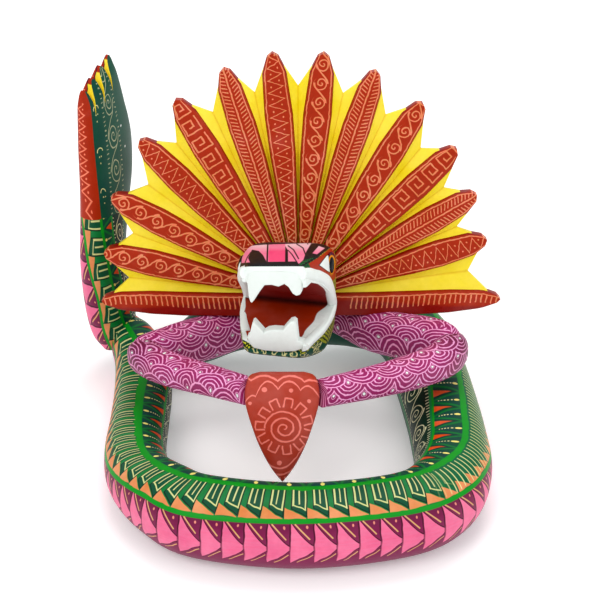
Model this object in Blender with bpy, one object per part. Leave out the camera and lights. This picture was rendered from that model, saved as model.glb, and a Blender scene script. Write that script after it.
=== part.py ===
"""Carved and painted wooden feathered serpent that holds a small shield.

Metres, +Z up. The face looks along -Y. The origin is under the middle of the
whole carving, on the surface that it stands on.
"""

import math

import bmesh
import bpy
from mathutils import Matrix, Vector

MM = 0.001

# Wood that touches wood keeps this gap
FIT_GAP = 0.3 * MM

# Depth of the flat that is planed under the coil
UNDER_FLAT = 1.2 * MM
GROUND_SIZE = 0.5

# Upright tail from its feathers down to its foot: x, y, z of the middle,
# half thickness, half depth, all in mm
TAIL_ROWS = [
    (-107, 88, 197, 1.8, 13.5),
    (-107, 88, 187, 3.4, 15.5),
    (-106.5, 89, 174, 5.6, 18.0),
    (-105.3, 91.5, 150, 7.2, 21.5),
    (-105.3, 91.5, 124, 8.0, 22.0),
    (-107.3, 89, 100, 9.0, 19.0),
    (-109.2, 87, 76, 10.2, 16.5),
    (-108.8, 88, 54, 11.5, 15.6),
    (-107.2, 89, 36, 12.0, 15.5),
    (-105.5, 89, 24, 11.0, 14.5),
    (-103.5, 88, 15, 7.5, 11.0),
]
# Coil from the tail's foot round to its hidden end: x, y, height of the axis
# (None where it lies on the table), half width, half height in mm
COIL_ROWS = [
    (-99.5, 94, 22.0, 7.5, 8.5),
    (-96.0, 84, 19.0, 12.4, 13.5),
    (-89.0, 64, 15.2, 15.2, 15.5),
    (-86.6, 38, None, 15.9, 15.6),
    (-86.6, 10, None, 15.9, 15.8),
    (-86.8, -20, None, 16.4, 16.4),
    (-82.0, -43.5, None, 17.4, 17.8),
    (-68, -63.5, None, 19.6, 20.0),
    (-48, -77.5, None, 20.8, 21.0),
    (0, -84.5, None, 21.0, 21.2),
    (48, -77, None, 20.8, 21.0),
    (70, -63.5, None, 20.8, 21.0),
    (79, -40, None, 20.4, 20.6),
    (78.5, -10, None, 20.2, 20.4),
    (75, 24, None, 20.4, 20.2),
    (71.5, 50, None, 20.6, 20.0),
    (66.5, 76, 20.0, 20.4, 19.5),
    (54, 93, 22.5, 19.5, 19.0),
    (30, 96, 28.0, 19.0, 19.0),
    (4, 90, 33.5, 19.0, 19.0),
    (-20, 89, 33.0, 18.5, 18.5),
    (-40, 89, 26.5, 17.0, 17.0),
    (-55, 85, 19.5, 14.6, 14.6),
    (-66, 80, 15.5, 12.0, 12.0),
]
# Hidden end of the coil, where it runs into the foot of the tail
JOIN_ROWS = [
    (-58, 84, 18.5, 11.5, 11.5),
    (-68, 79, 15.0, 11.7, 11.7),
    (-79, 74, 13.5, 11.7, 11.7),
    (-90, 70, 13.5, 10.5, 10.5),
]
# The tail stands as a board whose front edge is turned this far to the left
TAIL_TURN = math.radians(30)
SECTION_POWER = 2.3
RING_STEPS = 3
TAIL_STEPS = 2
RING_SIDES = 18

# Feather tips of the tail in mm: distance behind the board's front edge, height
TAIL_TIPS = [(2.5, 181), (10.0, 185), (18.0, 189), (26.0, 192)]
TAIL_NOTCH_DEPTH = 17
# The cut's edge before the first tip and behind the last one, in the same terms
TAIL_EDGE_BEFORE = [(-20, 230), (-20, 167), (1, 174)]
TAIL_EDGE_BEHIND = [(29, 183), (33.5, 162), (40, 140), (90, 138), (90, 230)]
TAIL_BOARD_DEPTH = 32 * MM
TAIL_BOARD_CENTRE = (-107 * MM, 88 * MM)

# Neck from the coil's hidden rear up to the head, in mm: x, y, z, radius
NECK_ROWS = [
    (-1, 92, 34, 16.5),
    (-1, 86, 50, 19.0),
    (-2, 74, 66, 18.6),
    (-3, 58, 78, 18.0),
    (-5, 40, 86, 18.0),
    (-6, 24, 90, 16.0),
]

NECK_UPWARD = Vector((0, 0.7, 0.7))

# Head, about the middle of the hinge line of the jaws
JAW_ASIDE = -6.5 * MM
JAW_BACK = 18 * MM
JAW_HEIGHT = 88.3 * MM
JAW_HINGE = Vector((JAW_ASIDE, JAW_BACK, JAW_HEIGHT))
HEAD_YAW = math.radians(-10)
# Distance behind the hinge, half width, top, bottom, lean back in degrees
HEAD_ROWS = [
    (42, 10.0, -4, -14, 17),
    (32, 19.4, 12.0, -18, 17),
    (19, 22.8, 24.5, -19.5, 6),
    (3, 23.3, 34.5, -20.5, 0),
    (-14, 21.2, 40, -20.5, 0),
    (-27, 17.8, 42.3, -17.5, 0),
    (-34.5, 15.2, 43, -12.5, 0),
    (-38, 12.5, 41.5, -9.0, 0),
]
HEAD_POWER = 3.0
HEAD_SIDES = 32
# Side profile of the open mouth: distance before the hinge, height
MOUTH_ROOF = [(0, 0), (5, 8), (11, 14.5), (22, 26), (32, 33), (60, 36)]
MOUTH_FLOOR = [(60, -2), (30, -1.5)]
MOUTH_HALF_WIDTH = 40
TOOTH_RADIUS = 4.2 * MM
TOOTH_SIDES = 12
# Fangs in mm: left, right, root height, tip height
UPPER_FANGS = (-11.2, 11.2, 35, 22)
LOWER_FANGS = (-10.2, 10.2, -4, 12)
FANG_FORWARD = 33.5
TOOTH_TAPER = 0.3
GUM_FORWARD = 34.5
GUM_DEPTH = 4 * MM
UPPER_GUM = (28.5, 38)
LOWER_GUM = (-6, 8.2)
GUM_HALF_WIDTH = 11.5 * MM

# Fan crest: a leaning board of feathers that point away from one centre
CREST_ASIDE = -1 * MM
CREST_BACK = 53.5 * MM
CREST_HEIGHT = 68.5 * MM
CREST_CENTRE = Vector((CREST_ASIDE, CREST_BACK, CREST_HEIGHT))
CREST_LEAN = math.radians(17)
# Direction in degrees and reach in mm of each feather, right to left
CREST_FEATHERS = [
    (-0.9, 110.0), (17.1, 107.8), (30.4, 112.3), (43.9, 118.5),
    (58.1, 126.0), (71.5, 131.0), (84.1, 134.5), (95.9, 134.5),
    (107.6, 131.5), (121.1, 127.0), (134.6, 121.6), (151.2, 115.5),
    (167.1, 109.0), (181.5, 107.0),
]
NOTCH_SHARE = 0.86
FEATHER_HALF_WIDTH = 6.9 * MM
FEATHER_FOOT = 0.7 * MM
# Half width of a feather along its length, as a share of the widest place
FEATHER_WIDTHS = [
    (0.0, 0.30), (0.30, 0.58), (0.55, 0.90), (0.74, 1.0), (0.92, 0.74), (1.0, 0.34),
]
# The same for the lower side of the two outermost feathers
LOWEST_WIDTHS = [
    (0.0, 1.5), (0.30, 1.45), (0.55, 1.32), (0.74, 1.12), (0.92, 0.74), (1.0, 0.34),
]
# Most that a feather's edge and foot take of the room up to the valley
EDGE_SHARE = 0.80
FOOT_SHARE = 0.93
TIP_ROUNDING = 1.6 * MM
FOOT_SETBACK = 0.7 * MM
CREST_INNER_RADIUS = 13 * MM
CREST_BOARD = 5.5 * MM
FEATHER_RISE = 2.6 * MM
FEATHER_CROWN = 0.9 * MM
TIP_FALL = 0.35
VALLEY_DEPTH = 2.6 * MM
END_DEPTH = 1.6 * MM
VALLEY_START = 26 * MM
BACK_GROOVE = 1.4 * MM

# Arms as upper arm and forearm: x, y, z, half width, half height in mm
LEFT_UPPER_ARM = [
    (-12, 71, 46, 6.5, 7.0),
    (-27, 59, 46, 8.0, 9.0),
    (-42, 50, 46, 9.7, 11.2),
    (-58, 40, 47.5, 10.2, 12.0),
    (-73, 29, 50, 9.7, 10.8),
    (-83, 21, 52.5, 8.6, 9.0),
    (-87, 17.5, 53.5, 5.6, 6.0),
]
LEFT_FOREARM = [
    (-86, 23, 52.5, 5.6, 6.0),
    (-83.5, 17, 53.5, 8.6, 8.8),
    (-74, 4.5, 56, 9.0, 8.4),
    (-60, -9.5, 60.5, 8.8, 7.8),
    (-44, -25, 66.5, 8.0, 7.2),
    (-26, -41, 72, 6.8, 6.8),
]
RIGHT_UPPER_ARM = [
    (11, 70, 47, 6.0, 6.5),
    (25, 59, 47, 7.0, 8.0),
    (39, 50, 48, 9.7, 11.2),
    (55, 40, 50, 10.2, 12.0),
    (70, 29, 52, 9.7, 11.0),
    (80, 21, 54, 8.6, 9.4),
    (84, 17.5, 55, 5.6, 6.2),
]
RIGHT_FOREARM = [
    (83, 23, 54, 5.6, 6.2),
    (80.5, 17, 54.8, 8.6, 9.4),
    (71, 4.5, 57, 9.0, 9.0),
    (55, -9.5, 60.5, 8.8, 8.4),
    (35, -25, 65.5, 8.0, 7.6),
    (10, -41, 70.5, 6.8, 6.8),
]
ARM_SIDES = 16
ARM_STEPS = 3
ARM_POWER = 2.6

# Shield, about the middle of its top edge
SHIELD_ASIDE = -9 * MM
SHIELD_FRONT = -40 * MM
SHIELD_TOP_HEIGHT = 82 * MM
SHIELD_TOP = Vector((SHIELD_ASIDE, SHIELD_FRONT, SHIELD_TOP_HEIGHT))
SHIELD_HEIGHT = 64 * MM
SHIELD_HALF_WIDTH = 18.8 * MM
SHIELD_THICKNESS = 10 * MM
SHIELD_LEAN = math.radians(10)
SHIELD_EDGE = 2.0 * MM
SHIELD_MIDDLE = 0.42
# Half width down the shield, as shares of its height and half width
SHIELD_SHAPE = [
    (0.0, 0.60), (0.03, 0.86), (0.10, 0.96), (0.22, 1.0), (0.36, 0.99),
    (0.52, 0.90), (0.68, 0.68), (0.82, 0.42), (0.94, 0.17), (1.0, 0.0),
]

# Paints: linear colours and roughness
GREEN = (0.01, 0.16, 0.06)
RED = (0.42, 0.04, 0.02)
PURPLE = (0.3, 0.03, 0.13)
SATIN = 0.5

PARTS_NAME = "feathered_serpent"
CUTTERS_NAME = "feathered_serpent_cutters"


# Scene and helpers


def clear_scene():
    """Remove every object of the open file."""
    for thing in list(bpy.data.objects):
        bpy.data.objects.remove(thing, do_unlink=True)


def collection(name):
    """A new collection under the scene's own."""
    made = bpy.data.collections.new(name)
    bpy.context.scene.collection.children.link(made)
    return made


def paint(name, colour, roughness):
    """A painted wood material."""
    made = bpy.data.materials.new(name)
    made.use_nodes = True
    shader = made.node_tree.nodes["Principled BSDF"]
    shader.inputs["Base Color"].default_value = (*colour, 1.0)
    shader.inputs["Roughness"].default_value = roughness
    shader.inputs["Metallic"].default_value = 0.0
    return made


def add_object(name, mesh, group, material=None):
    """Link a mesh object into a group."""
    thing = bpy.data.objects.new(name, mesh)
    group.objects.link(thing)
    if material is not None:
        mesh.materials.append(material)
    return thing


def add_cutter(name, mesh, group):
    """Link an object that only cuts or joins others."""
    thing = add_object(name, mesh, group)
    thing.hide_render = True
    thing.display_type = "WIRE"
    return thing


def combine(thing, other, operation):
    """Join another body to an object, or cut it away."""
    step = thing.modifiers.new(other.name, "BOOLEAN")
    step.operation = operation
    step.solver = "EXACT"
    step.object = other


def smooth(mesh, angle=40):
    """Shade a mesh smooth up to an edge angle."""
    mesh.shade_smooth()
    mesh.set_sharp_from_angle(angle=math.radians(angle))


def curve_through(rows, steps):
    """Rows of numbers on a smooth curve through the given rows."""
    rows = [Vector(row) for row in rows]
    first = rows[0] * 2 - rows[1]
    last = rows[-1] * 2 - rows[-2]
    padded = [first] + rows + [last]
    result = []
    for index in range(1, len(padded) - 2):
        before, start, end, after = padded[index - 1:index + 3]
        for step in range(steps):
            t = step / steps
            point = (
                start * 2
                + (end - before) * t
                + (before * 2 - start * 5 + end * 4 - after) * t * t
                + (start * 3 - before - end * 3 + after) * t * t * t
            ) * 0.5
            result.append(point)
    result.append(rows[-1])
    return result


def between(table, place):
    """Value of a table of (place, value) pairs, straight between its rows."""
    for (low, a), (high, b) in zip(table, table[1:]):
        if place <= high:
            return a + (b - a) * (place - low) / (high - low)
    return table[-1][1]


def rounded(angle, power):
    """Point at an angle of a unit superellipse."""
    c = math.cos(angle)
    s = math.sin(angle)
    return (
        math.copysign(abs(c) ** (2 / power), c),
        math.copysign(abs(s) ** (2 / power), s),
    )


def loft(name, rings):
    """A closed skin over rings of equal counts, with a fan at each end."""
    bm = bmesh.new()
    rows = [[bm.verts.new(point) for point in ring] for ring in rings]
    count = len(rows[0])
    for low, high in zip(rows, rows[1:]):
        for index in range(count):
            after = (index + 1) % count
            bm.faces.new((low[index], low[after], high[after], high[index]))
    for row in (rows[0], rows[-1]):
        middle = sum((vert.co for vert in row), Vector()) / count
        hub = bm.verts.new(middle)
        for index in range(count):
            bm.faces.new((row[index], row[(index + 1) % count], hub))
    bmesh.ops.recalc_face_normals(bm, faces=bm.faces)
    mesh = bpy.data.meshes.new(name)
    bm.to_mesh(mesh)
    bm.free()
    smooth(mesh)
    return mesh


def sweep(name, rows, power, sides, grow=0.0):
    """A skin along (centre, half width, half height, upward direction)."""
    rings = []
    for index, (centre, half_width, half_height, upward) in enumerate(rows):
        before = rows[max(index - 1, 0)][0]
        after = rows[min(index + 1, len(rows) - 1)][0]
        along = (after - before).normalized()
        side = along.cross(upward).normalized()
        top = side.cross(along).normalized()
        ring = []
        for step in range(sides):
            across, up = rounded(2 * math.pi * step / sides, power)
            sideways = side * across * (half_width + grow)
            ring.append(centre + sideways + top * up * (half_height + grow))
        rings.append(ring)
    return loft(name, rings)


# Serpent


def tail_front():
    """Direction that the tail's front edge faces."""
    return Vector((-math.sin(TAIL_TURN), -math.cos(TAIL_TURN), 0))


def body_rows(chosen, upward, steps=RING_STEPS):
    """Rows for a sweep of tail or coil."""
    whole = []
    for x, y, z, half_width, half_height in chosen:
        if z is None:
            z = half_height - UNDER_FLAT / MM
        whole.append((x, y, z, half_width, half_height))
    rows = []
    for x, y, z, half_width, half_height in curve_through(whole, steps):
        rows.append((Vector((x, y, z)) * MM, half_width * MM, half_height * MM, upward))
    return rows


def tail_mesh(name, grow=0.0):
    """Upright board of the tail and its foot."""
    return sweep(name, body_rows(TAIL_ROWS, tail_front(), TAIL_STEPS), SECTION_POWER, RING_SIDES, grow)


def coil_mesh(name, grow=0.0):
    """Coil from the tail's foot to its hidden end."""
    return sweep(name, body_rows(COIL_ROWS, Vector((0, 0, 1))), SECTION_POWER, RING_SIDES, grow)


def join_mesh(name):
    """Hidden end of the coil."""
    return sweep(name, body_rows(JOIN_ROWS, Vector((0, 0, 1))), SECTION_POWER, RING_SIDES)


def neck_mesh(name, grow=0.0):
    """Neck between the rear of the coil and the head."""
    rows = []
    for x, y, z, radius in curve_through(NECK_ROWS, RING_STEPS):
        rows.append((Vector((x, y, z)) * MM, radius * MM, radius * MM, NECK_UPWARD))
    return sweep(name, rows, SECTION_POWER, RING_SIDES, grow)


def place_head(point):
    """From head coordinates in mm about the hinge to the carving's."""
    return JAW_HINGE + Matrix.Rotation(HEAD_YAW, 3, "Z") @ (Vector(point) * MM)


def head_mesh(name, grow=0.0):
    """Closed head, before the mouth is cut."""
    extra = grow / MM
    rings = []
    for y, half_width, top, bottom, lean in HEAD_ROWS:
        middle = (top + bottom) / 2
        half_height = (top - bottom) / 2 + extra
        ring = []
        for step in range(HEAD_SIDES):
            across, up = rounded(2 * math.pi * step / HEAD_SIDES, HEAD_POWER)
            z = middle + up * half_height
            back = y + math.tan(math.radians(lean)) * (z - middle)
            ring.append(place_head((across * (half_width + extra), back, z)))
        rings.append(ring)
    return loft(name, rings)


def mouth_mesh(name):
    """Wedge that opens the jaws from side to side."""
    profile = MOUTH_ROOF + MOUTH_FLOOR
    rings = []
    for side in (-MOUTH_HALF_WIDTH, MOUTH_HALF_WIDTH):
        rings.append([place_head((side, -forward, up)) for forward, up in profile])
    return loft(name, rings)


def fang_mesh(name, sideways, root, tip):
    """One cone from its root in the jaw to its tip."""
    bm = bmesh.new()
    bmesh.ops.create_cone(
        bm, cap_ends=True, segments=TOOTH_SIDES, radius1=TOOTH_RADIUS,
        radius2=TOOTH_RADIUS * TOOTH_TAPER, depth=abs(tip - root) * MM,
    )
    if tip < root:
        bmesh.ops.rotate(bm, verts=bm.verts, matrix=Matrix.Rotation(math.pi, 3, "X"))
    centre = place_head((sideways, -FANG_FORWARD, (root + tip) / 2))
    bmesh.ops.translate(bm, verts=bm.verts, vec=centre)
    mesh = bpy.data.meshes.new(name)
    bm.to_mesh(mesh)
    bm.free()
    return mesh


def gum_mesh(name, low, high):
    """Row of small teeth between two fangs."""
    bm = bmesh.new()
    size = Vector((2 * GUM_HALF_WIDTH, GUM_DEPTH, (high - low) * MM))
    bmesh.ops.create_cube(bm, size=1.0, matrix=Matrix.Diagonal((*size, 1.0)))
    bmesh.ops.rotate(bm, verts=bm.verts, matrix=Matrix.Rotation(HEAD_YAW, 3, "Z"))
    centre = place_head((0, -GUM_FORWARD, (low + high) / 2))
    bmesh.ops.translate(bm, verts=bm.verts, vec=centre)
    mesh = bpy.data.meshes.new(name)
    bm.to_mesh(mesh)
    bm.free()
    return mesh


def tail_point(behind, height, sideways=0.0):
    """Point on the tail board from its front edge's distance and height."""
    front = tail_front()
    side = Vector((front.y, -front.x, 0))
    centre = Vector((*TAIL_BOARD_CENTRE, 0))
    place = centre + front * (TAIL_BOARD_DEPTH / 2 - behind) + side * sideways
    return Vector((place.x, place.y, height))


def tail_comb_mesh(name):
    """Body above the feather tips, which cuts their points and notches."""
    places = list(TAIL_EDGE_BEFORE)
    for index, (behind, height) in enumerate(TAIL_TIPS):
        places.append((behind, height))
        if index + 1 < len(TAIL_TIPS):
            after = TAIL_TIPS[index + 1]
            places.append(((behind + after[0]) / 2, (height + after[1]) / 2 - TAIL_NOTCH_DEPTH))
    places += TAIL_EDGE_BEHIND
    outline = [(behind * MM, height * MM) for behind, height in places]
    bm = bmesh.new()
    sides = []
    for sideways in (-TAIL_BOARD_DEPTH, TAIL_BOARD_DEPTH):
        sides.append([bm.verts.new(tail_point(behind, height, sideways)) for behind, height in outline])
    bm.faces.new(sides[0])
    bm.faces.new(sides[1])
    for index in range(len(outline)):
        after = (index + 1) % len(outline)
        bm.faces.new((sides[0][index], sides[0][after], sides[1][after], sides[1][index]))
    bmesh.ops.recalc_face_normals(bm, faces=bm.faces)
    bmesh.ops.triangulate(bm, faces=bm.faces)
    mesh = bpy.data.meshes.new(name)
    bm.to_mesh(mesh)
    bm.free()
    return mesh


def ground_mesh(name):
    """Block under the surface that the coil stands on."""
    bm = bmesh.new()
    bmesh.ops.create_cube(bm, size=GROUND_SIZE)
    bmesh.ops.translate(bm, verts=bm.verts, vec=(0, 0, -GROUND_SIZE / 2))
    mesh = bpy.data.meshes.new(name)
    bm.to_mesh(mesh)
    bm.free()
    return mesh


def make_serpent(parts, cutters):
    """Tail, coil, neck and head as one carved body."""
    coil = coil_mesh("serpent_body")
    serpent = add_object("serpent_body", coil, parts, paint("green_paint", GREEN, SATIN))
    tail = add_cutter("join_tail", tail_mesh("join_tail"), cutters)
    comb = add_cutter("cut_tail_feathers", tail_comb_mesh("cut_tail_feathers"), cutters)
    combine(tail, comb, "DIFFERENCE")
    combine(serpent, tail, "UNION")
    combine(serpent, add_cutter("join_coil_end", join_mesh("join_coil_end"), cutters), "UNION")
    combine(serpent, add_cutter("join_neck", neck_mesh("join_neck"), cutters), "UNION")
    head = add_cutter("join_head", head_mesh("join_head"), cutters)
    combine(head, add_cutter("cut_mouth", mouth_mesh("cut_mouth"), cutters), "DIFFERENCE")
    for name, (low, high) in (("join_upper_gum", UPPER_GUM), ("join_lower_gum", LOWER_GUM)):
        combine(head, add_cutter(name, gum_mesh(name, low, high), cutters), "UNION")
    for jaw, (left, right, root, tip) in (("upper", UPPER_FANGS), ("lower", LOWER_FANGS)):
        for side, sideways in (("left", left), ("right", right)):
            name = f"join_{jaw}_{side}_fang"
            combine(head, add_cutter(name, fang_mesh(name, sideways, root, tip), cutters), "UNION")
    combine(serpent, head, "UNION")
    combine(serpent, add_cutter("cut_underside", ground_mesh("cut_underside"), cutters), "DIFFERENCE")
    return serpent


# Crest


def crest_point(angle, radius, aside, depth):
    """Point of the crest board; depth is measured towards the front."""
    out = Vector((math.cos(angle), 0, math.sin(angle)))
    across = Vector((-math.sin(angle), 0, math.cos(angle)))
    tilt = Matrix.Rotation(-CREST_LEAN, 3, "X")
    return CREST_CENTRE + tilt @ (out * radius + across * aside + Vector((0, -depth, 0)))


def crest_columns():
    """Columns across the fan: kind, direction, reach, side, room to the valley."""
    columns = []
    directions = [math.radians(angle) for angle, reach in CREST_FEATHERS]
    reaches = [reach * MM for angle, reach in CREST_FEATHERS]
    last = len(directions) - 1
    for index, (angle, reach) in enumerate(zip(directions, reaches)):
        before = (angle - directions[index - 1]) / 2 if index else None
        after = (directions[index + 1] - angle) / 2 if index < last else None
        if index == 0:
            columns.append(("end", angle, reach, -1, before))
        columns.append(("foot", angle, reach, -1, before))
        columns.append(("edge", angle, reach, -1, before))
        columns.append(("ridge", angle, reach, 0, 0))
        columns.append(("edge", angle, reach, 1, after))
        columns.append(("foot", angle, reach, 1, after))
        if index < last:
            notch = (reach + reaches[index + 1]) / 2 * NOTCH_SHARE
            columns.append(("valley", angle + after, notch, 0, 0))
        else:
            columns.append(("end", angle, reach, 1, after))
    return columns


def crest_place(column, share):
    """Direction, radius, offset and front height of a column at a share."""
    kind, angle, reach, side, room = column
    radius = CREST_INNER_RADIUS + (reach - CREST_INNER_RADIUS) * share
    if kind == "ridge":
        return angle, radius, 0.0, FEATHER_RISE + FEATHER_CROWN * (1 - share)
    if kind == "valley":
        groove = min(1.0, max(0.0, radius / VALLEY_START - 1.0))
        return angle, radius, 0.0, -VALLEY_DEPTH * groove
    widths = LOWEST_WIDTHS if room is None else FEATHER_WIDTHS
    half = FEATHER_HALF_WIDTH * between(widths, share)
    radius -= TIP_ROUNDING * share
    limit = math.inf if room is None else radius * math.tan(room)
    if kind == "edge":
        rise = FEATHER_RISE * (1 - TIP_FALL * share)
        return angle, radius, side * min(half, limit * EDGE_SHARE), rise
    half += FEATHER_FOOT
    if kind == "foot":
        return angle, radius - FOOT_SETBACK * share, side * min(half, limit * FOOT_SHARE), 0.0
    return angle, radius - 2 * FOOT_SETBACK * share, side * (half + FEATHER_FOOT), -END_DEPTH


def board(name, front, back):
    """Closed solid between two equal grids of points."""
    bm = bmesh.new()
    sheets = []
    for grid in (front, back):
        sheets.append([[bm.verts.new(point) for point in column] for column in grid])
    count = len(front[0])
    for sheet in sheets:
        for left, right in zip(sheet, sheet[1:]):
            for row in range(count - 1):
                bm.faces.new((left[row], left[row + 1], right[row + 1], right[row]))
    ahead, behind = sheets
    for column in (0, -1):
        for row in range(count - 1):
            near = (ahead[column][row], ahead[column][row + 1])
            far = (behind[column][row + 1], behind[column][row])
            bm.faces.new(near + far)
    for row in (0, -1):
        for column in range(len(front) - 1):
            near = (ahead[column][row], ahead[column + 1][row])
            far = (behind[column + 1][row], behind[column][row])
            bm.faces.new(near + far)
    bmesh.ops.recalc_face_normals(bm, faces=bm.faces)
    bmesh.ops.triangulate(bm, faces=bm.faces)
    mesh = bpy.data.meshes.new(name)
    bm.to_mesh(mesh)
    bm.free()
    smooth(mesh)
    return mesh


def make_crest(parts, clearances):
    """Fan of raised feathers with a groove between each two."""
    shares = [share for share, width in FEATHER_WIDTHS]
    front = []
    back = []
    for column in crest_columns():
        groove = BACK_GROOVE if column[0] == "valley" else 0.0
        places = [crest_place(column, share) for share in shares]
        front.append([crest_point(*place) for place in places])
        back.append([crest_point(*place[:3], groove - CREST_BOARD) for place in places])
    mesh = board("feather_crest", front, back)
    crest = add_object("feather_crest", mesh, parts, paint("feather_paint", RED, SATIN))
    for clearance in clearances:
        combine(crest, clearance, "DIFFERENCE")
    return crest


# Arms and shield


def shield_outline():
    """Right half of the outline from the top down, then the left half."""
    right = []
    for place, share in SHIELD_SHAPE:
        right.append((share * SHIELD_HALF_WIDTH, -place * SHIELD_HEIGHT))
    left = [(-x, z) for x, z in reversed(right[:-1])]
    return right + left


def shield_mesh(name, grow=0.0):
    """Leaning teardrop board with softened edges."""
    tilt = Matrix.Rotation(-SHIELD_LEAN, 3, "X")
    half = SHIELD_THICKNESS / 2 + grow
    centre = Vector((0, 0, -SHIELD_HEIGHT * SHIELD_MIDDLE))
    rings = []
    flat = half - SHIELD_EDGE
    for depth, inset in ((-half, SHIELD_EDGE), (-flat, 0.0), (flat, 0.0), (half, SHIELD_EDGE)):
        ring = []
        for x, z in shield_outline():
            out = Vector((x, 0, z)) - centre
            out *= 1 + (grow - inset) / out.length
            ring.append(SHIELD_TOP + tilt @ (centre + out + Vector((0, depth, 0))))
        rings.append(ring)
    return loft(name, rings)


def make_shield(parts):
    """Shield between the hands."""
    return add_object("shield", shield_mesh("shield"), parts, paint("shield_paint", RED, SATIN))


def limb_mesh(name, rows, grow=0.0):
    """Skin of an upper arm or a forearm."""
    spaced = []
    for x, y, z, half_width, half_height in curve_through(rows, ARM_STEPS):
        spaced.append((Vector((x, y, z)) * MM, half_width * MM, half_height * MM, Vector((0, 0, 1))))
    return sweep(name, spaced, ARM_POWER, ARM_SIDES, grow)


def make_arm(name, upper, fore, parts, cutters, clearances):
    """One arm bent at the elbow, fitted to what it touches."""
    arm = add_object(name, limb_mesh(name, upper), parts, paint(name + "_paint", PURPLE, SATIN))
    forearm = "join_" + name + "_fore"
    combine(arm, add_cutter(forearm, limb_mesh(forearm, fore), cutters), "UNION")
    for clearance in clearances:
        combine(arm, clearance, "DIFFERENCE")
    return arm


def standing_point(things):
    """Point on the table under the middle of all the solids."""
    bpy.context.view_layer.update()
    graph = bpy.context.evaluated_depsgraph_get()
    corners = []
    for thing in things:
        mesh = thing.evaluated_get(graph).to_mesh()
        corners += [vert.co.copy() for vert in mesh.vertices]
    low = [min(corner[axis] for corner in corners) for axis in range(3)]
    high = [max(corner[axis] for corner in corners) for axis in range(3)]
    return Vector(((low[0] + high[0]) / 2, (low[1] + high[1]) / 2, low[2]))


def main():
    clear_scene()
    parts = collection(PARTS_NAME)
    cutters = collection(CUTTERS_NAME)
    neck_gap = add_cutter("clear_neck", neck_mesh("clear_neck", FIT_GAP), cutters)
    coil_gap = add_cutter("clear_coil", coil_mesh("clear_coil", FIT_GAP), cutters)
    head_gap = add_cutter("clear_head", head_mesh("clear_head", FIT_GAP), cutters)
    shield_gap = add_cutter("clear_shield", shield_mesh("clear_shield", FIT_GAP), cutters)
    left_arm = limb_mesh("clear_left_arm", LEFT_UPPER_ARM, FIT_GAP)
    right_arm = limb_mesh("clear_right_arm", RIGHT_UPPER_ARM, FIT_GAP)
    arm_gaps = [add_cutter(mesh.name, mesh, cutters) for mesh in (left_arm, right_arm)]
    serpent = make_serpent(parts, cutters)
    crest = make_crest(parts, [neck_gap] + arm_gaps)
    shield = make_shield(parts)
    gaps = [coil_gap, neck_gap, head_gap, shield_gap]
    left = make_arm("arm_left", LEFT_UPPER_ARM, LEFT_FOREARM, parts, cutters, gaps)
    right = make_arm("arm_right", RIGHT_UPPER_ARM, RIGHT_FOREARM, parts, cutters, gaps)
    solids = [serpent, crest, shield, left, right]
    base = bpy.data.objects.new("standing_point", None)
    parts.objects.link(base)
    base.location = -standing_point(solids)
    for thing in solids + list(cutters.objects):
        thing.parent = base


main()
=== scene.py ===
"""Carved and painted feathered serpent: the detailed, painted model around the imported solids."""

import math

import bmesh
import bpy
from mathutils import Matrix, Vector


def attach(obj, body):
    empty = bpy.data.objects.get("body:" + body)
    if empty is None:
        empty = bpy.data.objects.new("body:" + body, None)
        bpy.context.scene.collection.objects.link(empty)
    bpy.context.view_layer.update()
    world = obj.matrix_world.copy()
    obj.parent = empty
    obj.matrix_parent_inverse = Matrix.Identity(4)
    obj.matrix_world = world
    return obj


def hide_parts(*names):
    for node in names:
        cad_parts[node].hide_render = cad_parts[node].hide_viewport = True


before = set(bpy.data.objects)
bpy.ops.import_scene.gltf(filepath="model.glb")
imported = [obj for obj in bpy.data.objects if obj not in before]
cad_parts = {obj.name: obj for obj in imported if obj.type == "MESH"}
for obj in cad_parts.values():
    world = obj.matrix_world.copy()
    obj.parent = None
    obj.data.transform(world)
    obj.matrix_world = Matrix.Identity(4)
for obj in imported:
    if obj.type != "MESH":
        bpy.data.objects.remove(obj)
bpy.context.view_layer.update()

bl_info = {
    "name": "Feathered serpent",
    "version": (1, 0, 0),
    "blender": (4, 5, 0),
    "location": "3D View > Sidebar > Serpent",
    "description": "Builds a carved and painted feathered serpent with a shield",
    "category": "Add Mesh",
}

MM = 0.001

# Shift from the carver's layout, whose origin is behind the shield, to the frame
STAND = Vector((6.56, -4.89, 0)) * MM

# Depth of the flat that is planed under the coil
UNDER_FLAT = 1.2

# Tail from its feathers down to its foot: x, y, z, half thickness, half depth in mm,
# then in degrees round the section the edges of the painted bands
TAIL_ROWS = [
    (-107, 88, 197, 1.8, 13.5, -105, -75, -30, 45),
    (-107, 88, 187, 3.4, 15.5, -105, -75, -35, 45),
    (-106.5, 89, 174, 5.6, 18.0, -105, -72, -42, 42),
    (-105.3, 91.5, 150, 7.2, 21.5, -102, -70, -41, 42),
    (-105.3, 91.5, 124, 8.0, 22.0, -102, -70, -43, 38),
    (-107.3, 89, 100, 9.0, 19.0, -108, -74, -48, 11),
    (-109.2, 87, 76, 10.2, 16.5, -118, -84, -61, -5),
    (-108.8, 88, 54, 11.5, 15.6, -122, -90, -66, -18),
    (-107.2, 89, 36, 12.0, 15.5, -128, -96, -72, -16),
    (-105.5, 89, 24, 11.0, 14.5, -134, -104, -80, -16),
    (-103.5, 88, 15, 7.5, 11.0, -134, -106, -84, -12),
]
TAIL_PITCHES = [(0, 6.5), (3, 6.5), (4, 8), (5, 17), (6, 16), (7, 15), (9, 12), (10, 10)]
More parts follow.
